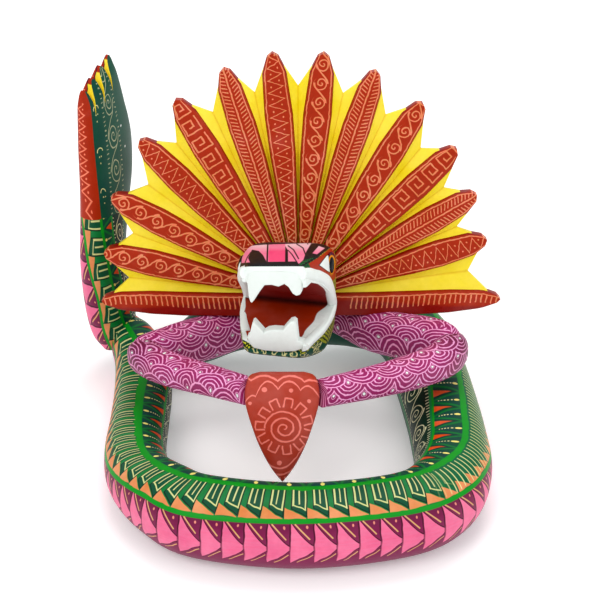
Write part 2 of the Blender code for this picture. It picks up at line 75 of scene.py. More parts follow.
# Coil from the tail's foot to its hidden end, in the same terms; a part without a height
# rests on the table
COIL_ROWS = [
    (-99.5, 94, 22.0, 7.5, 8.5, -95, -60, 20, 70),
    (-96.0, 84, 19.0, 12.4, 13.5, -95, -60, 16, 72),
    (-89.0, 64, 15.2, 15.2, 15.5, -95, -60, 8, 76),
    (-86.6, 38, None, 15.9, 15.6, -95, -60, -4, 80),
    (-86.6, 10, None, 15.9, 15.8, -95, -60, -2, 82),
    (-86.8, -20, None, 16.4, 16.4, -95, -60, -7, 74),
    (-82.0, -43.5, None, 17.4, 17.8, -95, -60, -7, 60),
    (-68, -63.5, None, 19.6, 20.0, -95, -62, -4, 50),
    (-48, -77.5, None, 20.8, 21.0, -95, -64, -11, 49),
    (0, -84.5, None, 21.0, 21.2, -95, -64, -9, 44),
    (48, -77, None, 20.8, 21.0, -95, -60, -12, 46),
    (70, -63.5, None, 20.8, 21.0, -93, -47, -5, 50),
    (79, -40, None, 20.4, 20.6, -90, -34, 11, 66),
    (78.5, -10, None, 20.2, 20.4, -88, -24, 18, 92),
    (75, 24, None, 20.4, 20.2, -88, -13, 28, 96),
    (71.5, 50, None, 20.6, 20.0, -88, -10, 30, 98),
    (66.5, 76, 20.0, 20.4, 19.5, -88, -10, 30, 98),
    (54, 93, 22.5, 19.5, 19.0, -88, -10, 30, 98),
    (30, 96, 28.0, 19.0, 19.0, -88, -10, 30, 98),
    (4, 90, 33.5, 19.0, 19.0, -88, -10, 30, 98),
    (-20, 89, 33.0, 18.5, 18.5, -88, -10, 30, 98),
    (-40, 89, 26.5, 17.0, 17.0, -88, -10, 30, 98),
    (-55, 85, 19.5, 14.6, 14.6, -88, -10, 30, 98),
    (-66, 80, 15.5, 12.0, 12.0, -88, -10, 30, 98),
]
# Length in mm of one unit of ornament at rows of the coil, outside and inside the ridge
OUTER_PITCHES = [
    (0, 15), (2, 13), (3, 10), (4, 8.2), (5, 8), (6, 9), (7, 9.6), (9, 10.8), (10, 10), (12, 8), (23, 8),
]
INNER_PITCHES = [
    (0, 14), (2, 13), (4, 12), (6, 11), (8, 15), (9, 16.5), (10, 14), (11, 10), (12, 10.5), (13, 13),
    (14, 18), (23, 18),
]
TAIL_INNER_PITCHES = [(0, 16), (10, 14)]
# Lean of the teeth at rows of the coil, in units for the width of their band
COIL_LEANS = [
    (0, 0), (3, -0.2), (5, -0.25), (7, -0.4), (8, -0.25), (9, 0), (10, -0.3), (11, -0.6),
    (13, -1.1), (23, -1.1),
]
# Share of fine stripes in place of teeth
COIL_STRIPES = [(0, 0), (10.5, 0), (10.9, 1), (23, 1)]
# The tail's teeth neither lean nor turn into stripes
TAIL_UPRIGHT = [(0, 0), (10, 0)]
# Row at which the painted ornament ends and the plain rear begins
REAR_ROW = 16.4
# Row of the tail at which the red feathers begin
FAN_ROW = 4.78
# Hidden end of the coil, where it runs into the foot of the tail
JOIN_ROWS = [
    (-58, 84, 18.5, 11.5, 11.5),
    (-68, 79, 15.0, 11.7, 11.7),
    (-79, 74, 13.5, 11.7, 11.7),
    (-90, 70, 13.5, 10.5, 10.5),
]
# Direction that the tail's front edge faces, and the one across the board
TAIL_TURN = math.radians(30)
TAIL_FRONT = Vector((-math.sin(TAIL_TURN), -math.cos(TAIL_TURN), 0))
TAIL_ACROSS = Vector((TAIL_FRONT.y, -TAIL_FRONT.x, 0))
# Squareness of the body's section and of its lower half
SECTION_POWER = 2.3
LOWER_POWER = 1.9
# Segments in each band of the section: inner scrolls, wedges, teeth, belly, underside
BAND_SEGMENTS = (12, 10, 16, 28, 10)
# Place in a unit of ornament at which the coil's pattern starts
COIL_START = 0.3
# Material slot that each band has on the tail's feathers
FAN_SLOTS = (7, 6, 5, 5, 4)
# Slot of the plain rear
REAR_SLOT = 4
# Length in mm that the belly's map gives to one degree round the section
BELLY_ARC = 0.366

# Neck from the coil's hidden rear up to the head, in mm: x, y, z, half width, half height
NECK_ROWS = [
    (-1, 92, 34, 16.5, 16.5),
    (-1, 86, 50, 19.0, 19.0),
    (-2, 74, 66, 18.6, 18.6),
    (-3, 58, 78, 18.0, 18.0),
    (-5, 40, 86, 18.0, 18.0),
    (-6, 24, 90, 16.0, 16.0),
]

# Sides of the neck and of the coil's hidden end, and where the neck's rings start
NECK_SIDES = 48
JOIN_SIDES = 40
NECK_UPWARD = Vector((0, 1, 1))

# Feather tips of the tail in mm: distance behind the board's front edge, height
TAIL_TIPS = [(2.5, 181), (10.0, 185), (18.0, 189), (26.0, 192)]
# Outline of one tip: distance aside, fall
TAIL_TIP_SHAPE = [(-3.0, 7.5), (-2.2, 3.4), (-1.2, 0.9), (0.0, 0.0), (1.2, 0.7), (2.0, 2.6), (2.8, 6.4)]
TAIL_NOTCH_DEPTH = 17
# Half the breadth of the cutter between the tips
TAIL_CUT_REACH = 32
# Height in mm over which the tips thin out and the share of thickness left at their ends
TAIL_THINNING = (11.0, 0.35)
# Cut before the first tip and behind the last one
TAIL_EDGE_BEFORE = [(-20, 230), (-20, 172), (-1.5, 173.5)]
TAIL_EDGE_BEHIND = [(29.5, 183), (33.5, 162), (40, 140), (90, 138), (90, 230)]
TAIL_BOARD_DEPTH = 32
TAIL_BOARD_CENTRE = Vector((-107, 88, 0))

# Head about the hinge of the jaws
JAW_HINGE = Vector((-6.5, 18, 88.3))
HEAD_YAW = math.radians(-10)
# Sections of the head: distance behind the hinge, half width, top, bottom, lean in degrees
HEAD_ROWS = [
    (42, 10.0, -4, -14, 17),
    (32, 18.8, 11.0, -18, 17),
    (19, 21.8, 22.0, -20, 6),
    (3, 24.0, 33.2, -21.6, 0),
    (-14, 23.2, 39.4, -21.6, 0),
    (-27, 19.4, 42.6, -16.6, 0),
    (-34.5, 17.4, 43.8, -12.2, 0),
    (-37.6, 16.6, 43.4, -10.0, 0),
    (-38.6, 15.2, 41.8, -8.6, 0),
]
HEAD_SIDES = 96
# Squareness of the head's upper and lower half
HEAD_POWER = 5.5
HEAD_LOWER_POWER = 8.0
# How far the middle of the head lies to the right of the hinge, and the length over
# which that shift grows from the tip of the snout, in mm
HEAD_ASIDE = 0.6
SNOUT_TIP = 38.6
SNOUT_BLEND = 24
# How much the right side of the brow stands above the left one, per mm aside, and the
# height in mm at which it does so in full
HEAD_SLANT = 0.085
SLANT_HEIGHT = 30
# Share of the head's half height past which its side counts as upright
CHEEK_LIMIT = 0.96
# Outline of the open mouth: forward of the hinge, up
MOUTH_ROOF = [(0, 0), (5, 8), (11, 14.5), (22, 26), (32, 33), (60, 36)]
MOUTH_FLOOR = [(60, -2), (30, -1.5)]
MOUTH_CUT_REACH = 40
# Toothed rims of the two jaws, seen from the front: sideways, height in mm
UPPER_RIM = [
    (-12.6, 41.2), (-14.8, 39.2), (-16.2, 36.6), (-15.2, 33.8), (-13.6, 32.4), (-13.0, 24.9),
    (-12.1, 21.9), (-11.2, 21.4), (-9.9, 23.4), (-7.0, 29.0), (-4.4, 33.3), (-0.8, 33.9),
    (2.7, 33.2), (5.6, 35.0), (7.6, 33.4), (9.6, 29.6), (11.4, 28.2), (13.2, 28.6),
    (14.2, 30.6), (14.5, 37.0), (16.0, 38.2), (15.0, 40.4), (12.4, 42.0),
]
LOWER_RIM = [
    (-10.6, -5.9), (-13.0, -4.0), (-14.2, -0.6), (-13.0, 0.6), (-11.9, 6.0), (-11.2, 9.2),
    (-10.2, 9.9), (-9.0, 8.7), (-5.2, 4.4), (-3.3, 6.0), (-0.2, 7.0), (4.6, 7.1),
    (6.5, 9.9), (8.3, 12.4), (10.1, 12.9), (11.3, 11.7), (11.7, 6.0), (12.2, 0.6),
    (15.6, -1.4), (15.8, -2.8), (14.2, -4.4), (10.8, -5.5), (3.0, -6.3), (-5.0, -6.4),
]
# Where the rims begin and end forward of the hinge
UPPER_RIM_DEPTHS = (35.0, 39.6)
LOWER_RIM_DEPTHS = (34.6, 39.4)
RIM_EDGE = 0.9
# How far the rims bend back at a distance aside
RIM_BEND = 2.8
RIM_BEND_ASIDE = 16
# Middle of the raised lip along the side of the mouth, in mm: forward, up, half width
LIP_PATH = [
    (37.4, 39.6, 2.8), (32.0, 36.6, 3.1), (27.0, 32.8, 3.1), (22.0, 29.0, 3.1), (14.0, 21.6, 3.3),
    (7.0, 13.2, 3.1), (0.0, 3.2, 3.0), (-2.6, -0.8, 2.8), (0.5, -2.6, 2.6), (8.0, -3.0, 2.5),
    (20.0, -3.2, 2.4), (30.0, -3.0, 2.3), (37.4, -2.4, 2.0),
]
# Open wedge of the jaws that the painted lips follow: forward, up
LIP_WEDGE = [(-0.5, 0.0), (60, -2.2), (60, 36.5), (32, 33), (11, 14.5)]
# Thickness of the lips, sides and squareness of their section
LIP_THICKNESS = 2.4
LIP_SIDES = 24
LIP_POWER = 2.6
# Past this distance forward of the hinge the lips keep their distance aside
LIP_REACH = 36.5
# How deep the middle of each lip lies in the cheek: left, right
LIP_SINKS = {-1: 0.6, 1: 1.3}
# How much deeper the left lip lies at its lower part, the height at which that starts
# and the height over which it grows
LEFT_LIP_FALL = 1.7
LEFT_LIP_START = 34
LEFT_LIP_BLEND = 18
# Eyes: aside, forward and up of the hinge, and their half sizes
EYE_PLACE = (23.0, 6.0, 26.6)
LEFT_EYE_DROP = 3.0
EYE_RADII = (2.4, 5.2, 6.6)

# Fan crest: its middle, its lean backwards, and below its sizes in mm
CREST_CENTRE = Vector((-1, 53.5, 68.5)) * MM
CREST_LEAN = math.radians(17)
# Direction in degrees, reach in mm and painted motif of each feather, right to left
CREST_FEATHERS = [
    (-0.9, 110.0, "strokes"), (17.1, 106.6, "zigzag"), (30.4, 111.1, "comb"), (43.9, 117.3, "keys"),
    (58.1, 124.8, "scrolls"), (71.5, 129.8, "comb"), (84.1, 133.3, "scrolls"), (95.9, 133.3, "zigzag"),
    (107.6, 130.3, "comb"), (121.1, 125.8, "keys"), (134.6, 120.4, "zigzag"), (151.2, 114.3, "scrolls"),
    (167.1, 107.8, "scrolls"), (181.5, 107.0, "strokes"),
]
LAST_FEATHER = len(CREST_FEATHERS) - 1
# Depth of the notches as a share of the feathers' reach
NOTCH_SHARE = 0.86
FEATHER_HALF_WIDTH = 6.9
# How much further out a feather's foot stands than its edge
FEATHER_FOOT = 0.7
# Half widths along a feather, as shares, and those of the lower and upper halves of the
# lowest two
FEATHER_WIDTHS = [(0.0, 0.30), (0.30, 0.58), (0.55, 0.90), (0.74, 1.0), (0.93, 0.84), (1.0, 0.44)]
LOWEST_WIDTHS = [(0.0, 1.5), (0.30, 1.45), (0.55, 1.32), (0.74, 1.12), (0.92, 0.74), (1.0, 0.34)]
LOWEST_UPPER = [(0.0, 0.12), (0.30, 0.26), (0.55, 0.42), (0.74, 0.56), (0.92, 0.56), (1.0, 0.30)]
# Columns across a feather, from edge to edge
FEATHER_COLUMNS = (-1.0, -0.92, -0.75, -0.5, -0.25, 0.0, 0.25, 0.5, 0.75, 0.92, 1.0)
# Shares of the room up to the valley that a feather's edge and its foot take at most
EDGE_SHARE = 0.80
FOOT_SHARE = 0.93
# Share of its feather's length at which the yellow ends
YELLOW_END = 0.955
# How far the edges of a tip and of its foot fall short of the ridge
TIP_ROUNDING = 2.0
FOOT_SETBACK = 0.7
CREST_INNER_RADIUS = 13
CREST_BOARD = 5.5
# Height of a feather's edge, its crown over it near the middle, and how much the tip falls
FEATHER_RISE = 2.6
FEATHER_CROWN = 0.9
TIP_FALL = 0.35
# Depth of the valleys in front and behind, the radius at which they start, and the depth
# of the board's two ends
VALLEY_DEPTH = 2.6
VALLEY_START = 26
BACK_GROOVE = 1.4
END_DEPTH = 1.6
# Where the painted lines start on a feather, past the inner radius
MOTIF_START = 14.0
CREST_ROWS = 40
# Half the angle between two feathers, in radians
FEATHER_ROOM = 0.11

# Arms as upper arm and forearm: x, y, z, half width, half height in mm
ARMS = {
    "left": (
        [
            (-12, 71, 46, 6.5, 7.0), (-27, 59, 46, 8.0, 9.0), (-42, 50, 46, 9.7, 11.2),
            (-58, 40, 47.5, 10.2, 12.0), (-73, 29, 50, 9.7, 10.8), (-83, 21, 52.5, 8.6, 9.0),
            (-87, 17.5, 53.5, 5.6, 6.0),
        ],
        [
            (-86, 23, 52.5, 5.6, 6.0), (-83.5, 17, 53.5, 8.6, 8.8), (-74, 4.5, 56, 9.0, 8.4),
            (-60, -9.5, 60.5, 8.8, 7.8), (-44, -25, 66.5, 8.0, 7.2), (-26, -41, 72, 6.8, 6.8),
        ],
    ),
    "right": (
        [
            (11, 70, 47, 6.0, 6.5), (25, 59, 47, 7.0, 8.0), (39, 50, 48, 9.7, 11.2),
            (55, 40.5, 50.5, 10.2, 12.2), (69, 32.5, 53.5, 10.0, 12.2), (77.5, 25.5, 55.5, 9.4, 11.0),
            (83, 20.5, 56, 6.4, 7.6),
        ],
        [
            (82.5, 26.5, 55.6, 6.4, 7.2), (80.5, 18, 55.4, 9.0, 10.2), (71.5, 5.0, 57, 9.0, 9.2),
            (55, -9.5, 60.5, 8.8, 8.4), (35, -25, 65.5, 8.0, 7.6), (10, -41, 70.5, 6.8, 6.8),
        ],
    ),
}
ARM_STEPS = 8
ARM_SIDES = 40
ARM_POWER = 2.6
# Overlapping discs on the arms in mm: breadth and height of the rows, radius, ring spacing
DISC_BREADTH = 18.0
DISC_ROW = 7.6
DISC_RADIUS = 10.6
RING_GAP = 2.25

# Shield about the middle of its top edge, its sizes in mm
SHIELD_TOP = Vector((-9, -40, 82)) * MM
SHIELD_HEIGHT = 60
SHIELD_HALF_WIDTH = 18.8
SHIELD_THICKNESS = 10
SHIELD_LEAN = math.radians(10)
# Half width at places down the board, as shares
SHIELD_SHAPE = [
    (0.0, 0.60), (0.03, 0.86), (0.10, 0.965), (0.18, 1.0), (0.27, 0.98), (0.37, 0.91), (0.48, 0.81),
    (0.60, 0.69), (0.71, 0.55), (0.82, 0.385), (0.92, 0.195), (1.0, 0.0),
]
# Where the face plane meets the top of the shield's drawing, and mm of the board for one
# unit of that plane
SHIELD_TOP_LINE = 371.7
SHIELD_UNIT = 0.563
# Dots on the shield: mm aside, mm up, radius
SHIELD_DOTS = [
    (-8.8, -9.8, 1.5), (4.5, -10.1, 1.15), (13.5, -16.3, 1.05), (-16.0, -17.5, 1.0), (-1.5, -52.1, 1.3),
]
# Figures in the wheel round the shield's spiral
WHEEL_COUNT = 11

# Camera of the photograph
VIEW_POINT = Vector((0, 0, 100)) * MM
VIEW_DISTANCE = 1.0
VIEW_ELEVATION = math.radians(33)
VIEW_LENS = 117
# Plane that faces the viewer, for what is painted as it is seen: units in a mm, and the
# unit at its middle
FACE_SCALE = 1.985
FACE_MIDDLE = 300.0

# Studio: floor, sky, and the lamps' place, size in m, power in W and tint
FLOOR_HALF = 6.0
FLOOR_SHADE = 0.97
FLOOR_GLOW = 0.2
SKY_STRENGTH = 0.7
LAMPS = {
    "key_light": ((-0.7, -0.9, 1.3), 0.9, 7.6, (1.0, 0.98, 0.96)),
    "fill_light": ((0.9, -0.8, 0.9), 1.0, 3.8, (0.97, 0.98, 1.0)),
    "top_light": ((0.1, 0.5, 1.4), 1.0, 7.0, (1.0, 1.0, 1.0)),
}

# Acrylic paint: how much it glints, and the depth of its brush marks in m
PAINT_GLINT = 0.15
PAINT_RELIEF = 0.0004


def srgb(red, green, blue):
    """Linear colour of a 0 to 255 screen colour."""
    parts = []
    for value in (red, green, blue):
        value /= 255
        parts.append(value / 12.92 if value <= 0.04045 else ((value + 0.055) / 1.055) ** 2.4)
    return tuple(parts)


def colour(words, values):
    """A paint colour that the user can change."""
    return bpy.props.FloatVectorProperty(
        name=words, description=f"Paint: {words.lower()}", subtype="COLOR", size=3,
        min=0.0, max=1.0, default=srgb(*values),
    )


class SerpentPaints(bpy.types.PropertyGroup):
    """Colours of the painted serpent."""

    feather_red: colour("Feather red", (164, 50, 32))
    feather_line: colour("Feather line", (242, 138, 112))
    yellow: colour("Yellow", (248, 228, 84))
    bright_green: colour("Bright green", (14, 142, 32))
    deep_green: colour("Deep green", (6, 62, 56))
    tooth_green: colour("Tooth green", (8, 74, 48))
    night_green: colour("Night green", (4, 40, 26))
    light_green: colour("Light green", (40, 150, 70))
    cream: colour("Cream", (234, 230, 164))
    orange: colour("Orange", (218, 148, 102))
    wedge_orange: colour("Wedge orange", (214, 88, 56))
    pink: colour("Pink", (228, 120, 154))
    maroon: colour("Maroon", (122, 38, 76))
    outline: colour("Outline", (74, 16, 42))
    arm_purple: colour("Arm purple", (152, 52, 102))
    arm_line: colour("Arm line", (246, 176, 222))
    lip_white: colour("Lip white", (232, 240, 236))
    mouth_red: colour("Mouth red", (152, 56, 42))
    nose_pink: colour("Nose pink", (234, 130, 158))
    hot_pink: colour("Hot pink", (234, 92, 130))
    black: colour("Black", (8, 9, 16))
    scale_green: colour("Scale green", (206, 212, 74))
    rear_green: colour("Rear green", (12, 72, 54))
    ochre: colour("Ochre", (206, 130, 40))


class SerpentSizes(bpy.types.PropertyGroup):
    """Sizes of the carving's fine work."""

    steps: bpy.props.IntProperty(
        name="Steps", description="Rings between two rows of the coil", default=9, min=2, max=24,
    )
    line_width: bpy.props.FloatProperty(
        name="Line width", description="Width of the painted lines in mm",
        default=0.75, min=0.2, max=2.0,
    )
    hand_shake: bpy.props.FloatProperty(
        name="Hand shake", description="How far the painted lines stray in mm",
        default=0.45, min=0.0, max=2.0,
    )
    roughness: bpy.props.FloatProperty(
        name="Roughness", description="Roughness of the acrylic paint", default=0.42, min=0.1, max=0.9,
    )
    light: bpy.props.FloatProperty(
        name="Light", description="Strength of the studio lights", default=1.0, min=0.1, max=5.0,
    )


def paints():
    """The user's colours."""
    return bpy.context.scene.serpent_paints


def sizes():
    """The user's sizes."""
    return bpy.context.scene.serpent_sizes


# Numbers along curves


def curve_through(rows, steps):
    """Rows of numbers on a smooth curve through the given rows."""
    rows = [Vector(row) for row in rows]
    padded = [rows[0] * 2 - rows[1]] + rows + [rows[-1] * 2 - rows[-2]]
    result = []
    for index in range(1, len(padded) - 2):
        before, start, end, after = padded[index - 1:index + 3]
        for step in range(steps):
            t = step / steps
            point = (
                start * 2
                + (end - before) * t
                + (before * 2 - start * 5 + end * 4 - after) * t * t
                + (start * 3 - before - end * 3 + after) * t * t * t
            ) * 0.5
            result.append(point)
    result.append(rows[-1])
    return result


def between(table, place):
    """Value of a table of (place, value) pairs, straight between its rows."""
    for (low, a), (high, b) in zip(table, table[1:]):
        if place <= high:
            return a + (b - a) * (place - low) / (high - low)
    return table[-1][1]


def held(value):
    """A value kept between 0 and 1."""
    return min(1.0, max(0.0, value))


def rounded(angle, power):
    """Point at an angle of a unit superellipse."""
    c = math.cos(angle)
    s = math.sin(angle)
    return (
        math.copysign(abs(c) ** (2 / power), c),
        math.copysign(abs(s) ** (2 / power), s),
    )


# Mesh work


def grid(columns, rows):
    """A bmesh grid and its vertices as [column][row]; each vertex keeps its place."""
    bm = bmesh.new()
    column_layer = bm.verts.layers.int.new("column")
    row_layer = bm.verts.layers.int.new("row")
    bmesh.ops.create_grid(bm, x_segments=columns - 1, y_segments=rows - 1, size=1.0)
    table = [[None] * rows for _ in range(columns)]
    for vert in bm.verts:
        i = round((vert.co.x + 1) / 2 * (columns - 1))
        j = round((vert.co.y + 1) / 2 * (rows - 1))
        table[i][j] = vert
        vert[column_layer] = i
        vert[row_layer] = j
    return bm, table


def lay(bm, table, points, maps, choose=None):
    """Move a grid onto points and give it its pattern maps and materials."""
    for name in maps:
        bm.loops.layers.uv.new(name)
    column_layer = bm.verts.layers.int["column"]
    row_layer = bm.verts.layers.int["row"]
    for name, rule in maps.items():
        uv = bm.loops.layers.uv[name]
        for face in bm.faces:
            cells = [(loop.vert[column_layer], loop.vert[row_layer]) for loop in face.loops]
            i = min(cell[0] for cell in cells)
            j = min(cell[1] for cell in cells)
            if choose:
                face.material_index = choose(i, j)
            for loop, cell in zip(face.loops, cells):
                loop[uv].uv = rule(cell[0], cell[1], i, j)
    for i, column in enumerate(table):
        for j, vert in enumerate(column):
            vert.co = points[i][j]


def smoothed(mesh, crease=40):
    """Smooth shading that keeps edges past an angle in degrees sharp."""
    mesh.shade_smooth()
    mesh.set_sharp_from_angle(angle=math.radians(crease))


def linked(name, data):
    """A new object of the scene."""
    thing = bpy.data.objects.new(name, data)
    bpy.context.scene.collection.objects.link(thing)
    return thing


def finish_mesh(bm, name, materials, crease=40, shift=STAND):
    """Turn a bmesh into an object of the scene, shifted from the carver's layout."""
    bmesh.ops.translate(bm, verts=bm.verts, vec=shift)
    mesh = bpy.data.meshes.new(name)
    bm.to_mesh(mesh)
    bm.free()
    for material in materials:
        mesh.materials.append(material)
    smoothed(mesh, crease)
    return linked(name, mesh)


def close_ends(bm, material):
    """Weld the seam of a tube and close both its ends with fans."""
    bmesh.ops.remove_doubles(bm, verts=bm.verts, dist=1e-6)
    rim = [edge for edge in bm.edges if edge.is_boundary]
    filled = bmesh.ops.holes_fill(bm, edges=rim)["faces"]
    for face in filled:
        face.material_index = material
    bmesh.ops.poke(bm, faces=filled)
    bmesh.ops.recalc_face_normals(bm, faces=bm.faces)


def rings_along(spaced, upward, angles, power, under=None):
    """Superellipses in m across a path of x, y, z, half width and half height in mm.

    Each ring has its own angles, from the top outwards; under is the squareness below.
    """
    centres = [Vector(row[:3]) * MM for row in spaced]
    rings = []
    for index, row in enumerate(spaced):
        along = centres[min(index + 1, len(spaced) - 1)] - centres[max(index - 1, 0)]
        side = along.cross(upward).normalized()
        top = side.cross(along).normalized()
        ring = []
        for angle in angles[index]:
            lower = under if under and math.cos(math.radians(angle)) < 0 else power
            across, up = rounded(math.radians(90 - angle), lower)
            ring.append(centres[index] + (side * (across * row[3]) + top * (up * row[4])) * MM)
        rings.append(ring)
    return rings


def tube(name, rows, steps, upward, sides, power, materials):
    """Tube through rows of x, y, z, half width, half height with a map in mm."""
    spaced = curve_through(rows, steps)
    angles = [360 * step / sides for step in range(sides + 1)]
    points = rings_along(spaced, upward, [angles] * len(spaced), power)
    lengths = [0.0]
    for before, after in zip(spaced, spaced[1:]):
        lengths.append(lengths[-1] + math.dist(before[:3], after[:3]))
    girths = [math.pi * (row[3] + row[4]) for row in spaced]
    bm, table = grid(len(spaced), sides + 1)
    lay(bm, table, points, {"pattern": lambda i, j, a, b: (lengths[i], (j / sides - 0.5) * girths[i])})
    close_ends(bm, 0)
    return finish_mesh(bm, name, materials)


def boolean(thing, other, operation):
    """Cut or join another closed piece for good, and remove it."""
    step = thing.modifiers.new("work", "BOOLEAN")
    step.operation = operation
    step.solver = "EXACT"
    step.material_mode = "TRANSFER"
    step.object = other
    bpy.context.view_layer.update()
    graph = bpy.context.evaluated_depsgraph_get()
    mesh = bpy.data.meshes.new_from_object(
        thing.evaluated_get(graph), preserve_all_data_layers=True, depsgraph=graph,
    )
    thing.modifiers.clear()
    old = thing.data
    name = old.name
    thing.data = mesh
    bpy.data.meshes.remove(old)
    mesh.name = name
    bpy.data.objects.remove(other, do_unlink=True)
    smoothed(mesh)
    return thing


def pushed_out(bm, faces, step):
    """Make flat faces a closed body by a push along a step."""
    pushed = bmesh.ops.extrude_face_region(bm, geom=faces, use_keep_orig=True)
    fresh = [item for item in pushed["geom"] if isinstance(item, bmesh.types.BMVert)]
    bmesh.ops.translate(bm, verts=fresh, vec=step)
    bmesh.ops.recalc_face_normals(bm, faces=bm.faces)


def prism(name, outline, low, high, place, materials):
    """A flat outline pushed through between two depths."""
    bm = bmesh.new()
    face = bm.faces.new([bm.verts.new(place(x, low, z)) for x, z in outline])
    pushed_out(bm, [face], place(0, high, 0) - place(0, low, 0))
    return finish_mesh(bm, name, materials)


# Shader work


def feed(tree, value, socket):
    """Link a wire to a socket, or set the socket's own number or colour."""
    if isinstance(value, Wire):
        tree.links.new(value.socket, socket)
    elif isinstance(value, (int, float)):
        socket.default_value = value
    else:
        socket.default_value = (*value, 1.0)


def calculated(operation, *values, clamp=False):
    """One Math node over wires and numbers."""
    tree = next(value.tree for value in values if isinstance(value, Wire))
    node = tree.nodes.new("ShaderNodeMath")
    node.operation = operation
    node.use_clamp = clamp
    for value, socket in zip(values, node.inputs):
        feed(tree, value, socket)
    return Wire(tree, node.outputs[0])


def arithmetic(operation):
    """A method of wires that adds one Math node."""
    return lambda self, *others: calculated(operation, self, *others)


class Wire:
    """A number or vector in a shader; sums and products of wires add Math nodes."""

    def __init__(self, tree, socket):
        self.tree = tree
        self.socket = socket

    __add__ = arithmetic("ADD")
    __radd__ = __add__
    __sub__ = arithmetic("SUBTRACT")
    __mul__ = arithmetic("MULTIPLY")
    __rmul__ = __mul__
    __truediv__ = arithmetic("DIVIDE")
    __abs__ = arithmetic("ABSOLUTE")
    least = arithmetic("MINIMUM")
    most = arithmetic("MAXIMUM")
    part = arithmetic("FRACT")
    whole = arithmetic("FLOOR")
    power = arithmetic("POWER")
    root = arithmetic("SQRT")
    sine = arithmetic("SINE")
    cosine = arithmetic("COSINE")
    angle = arithmetic("ARCTAN2")
    above = arithmetic("GREATER_THAN")
    below = arithmetic("LESS_THAN")

    def __rsub__(self, other):
        return calculated("SUBTRACT", other, self)

    def __neg__(self):
        return self * -1.0

    def clamped(self):
        return calculated("MULTIPLY", self, 1.0, clamp=True)

    def ramp(self, low, high):
        """0 at low and 1 at high, soft between them."""
        node = self.tree.nodes.new("ShaderNodeMapRange")
        node.interpolation_type = "SMOOTHSTEP"
        node.inputs["From Min"].default_value = low
        node.inputs["From Max"].default_value = high
        self.tree.links.new(self.socket, node.inputs["Value"])
        return Wire(self.tree, node.outputs["Result"])

    def inside(self, soft=0.08):
        """1 where a distance is negative."""
        return (-self).ramp(-soft, soft)


def length(x, y):
    """Distance of a pair of wires from nought."""
    return (x * x + y * y).root()


def near_zero(value, width, soft=0.08):
    """1 on a line of a width where a value is nought."""
    return (abs(value) - width / 2).inside(soft)


def repeated(x, pitch):
    """Place in a unit that repeats, counted from the unit's middle."""
    return ((x / pitch).part() - 0.5) * pitch


def bar(x, y, x0, x1, y0, y1):
    """Signed distance to an upright box."""
    dx = abs(x - (x0 + x1) / 2) - abs(x1 - x0) / 2
    dy = abs(y - (y0 + y1) / 2) - abs(y1 - y0) / 2
    return dx.most(dy)


def polygon(x, y, corners):
    """Signed distance to a convex polygon."""
    sides = list(zip(corners, corners[1:] + corners[:1]))
    turn = math.copysign(1.0, sum(x0 * y1 - x1 * y0 for (x0, y0), (x1, y1) in sides))
    result = None
    for (x0, y0), (x1, y1) in sides:
        size = math.hypot(x1 - x0, y1 - y0) * turn
        nx = (y1 - y0) / size
        ny = (x0 - x1) / size
        side = x * nx + y * ny - (x0 * nx + y0 * ny)
        result = side if result is None else result.most(side)
    return result


def segment(x, y, start, end):
    """Distance to a straight stroke."""
    ax, ay = start
    bx, by = end[0] - ax, end[1] - ay
    size = bx * bx + by * by
    px = x - ax
    py = y - ay
    share = (px * (bx / size) + py * (by / size)).clamped()
    return length(px - share * bx, py - share * by)


def strokes(x, y, points):
    """Distance to a chain of straight strokes."""
    result = None
    for start, end in zip(points, points[1:]):
        part = segment(x, y, start, end)
        result = part if result is None else result.least(part)
    return result


def mix(tree, mask, under, over):
    """Colour under a mask and over it; each is a colour or a wire."""
    node = tree.nodes.new("ShaderNodeMix")
    node.data_type = "RGBA"
    for name, value in (("Factor_Float", mask), ("A_Color", under), ("B_Color", over)):
        feed(tree, value, next(socket for socket in node.inputs if socket.identifier == name))
    return Wire(tree, next(socket for socket in node.outputs if socket.identifier == "Result_Color"))


def noise(tree, place, scale, detail=2.0, roughness=0.5):
    """Noise between 0 and 1 at a vector or at up to three wires and numbers."""
    vector = place if isinstance(place, Wire) else combined(tree, *place)
    node = tree.nodes.new("ShaderNodeTexNoise")
    node.inputs["Scale"].default_value = scale
    node.inputs["Detail"].default_value = detail
    node.inputs["Roughness"].default_value = roughness
    tree.links.new(vector.socket, node.inputs["Vector"])
    return Wire(tree, node.outputs["Fac"])


def combined(tree, x, y, z=0.0):
    """A vector from three wires or numbers."""
    node = tree.nodes.new("ShaderNodeCombineXYZ")
    for value, socket in zip((x, y, z), node.inputs):
        feed(tree, value, socket)
    return Wire(tree, node.outputs[0])


def separated(tree, vector):
    """The three wires of a vector."""
    node = tree.nodes.new("ShaderNodeSeparateXYZ")
    tree.links.new(vector.socket, node.inputs[0])
    return tuple(Wire(tree, socket) for socket in node.outputs)


def object_place(tree):
    """Object coordinates in m."""
    return Wire(tree, tree.nodes.new("ShaderNodeTexCoord").outputs["Object"])


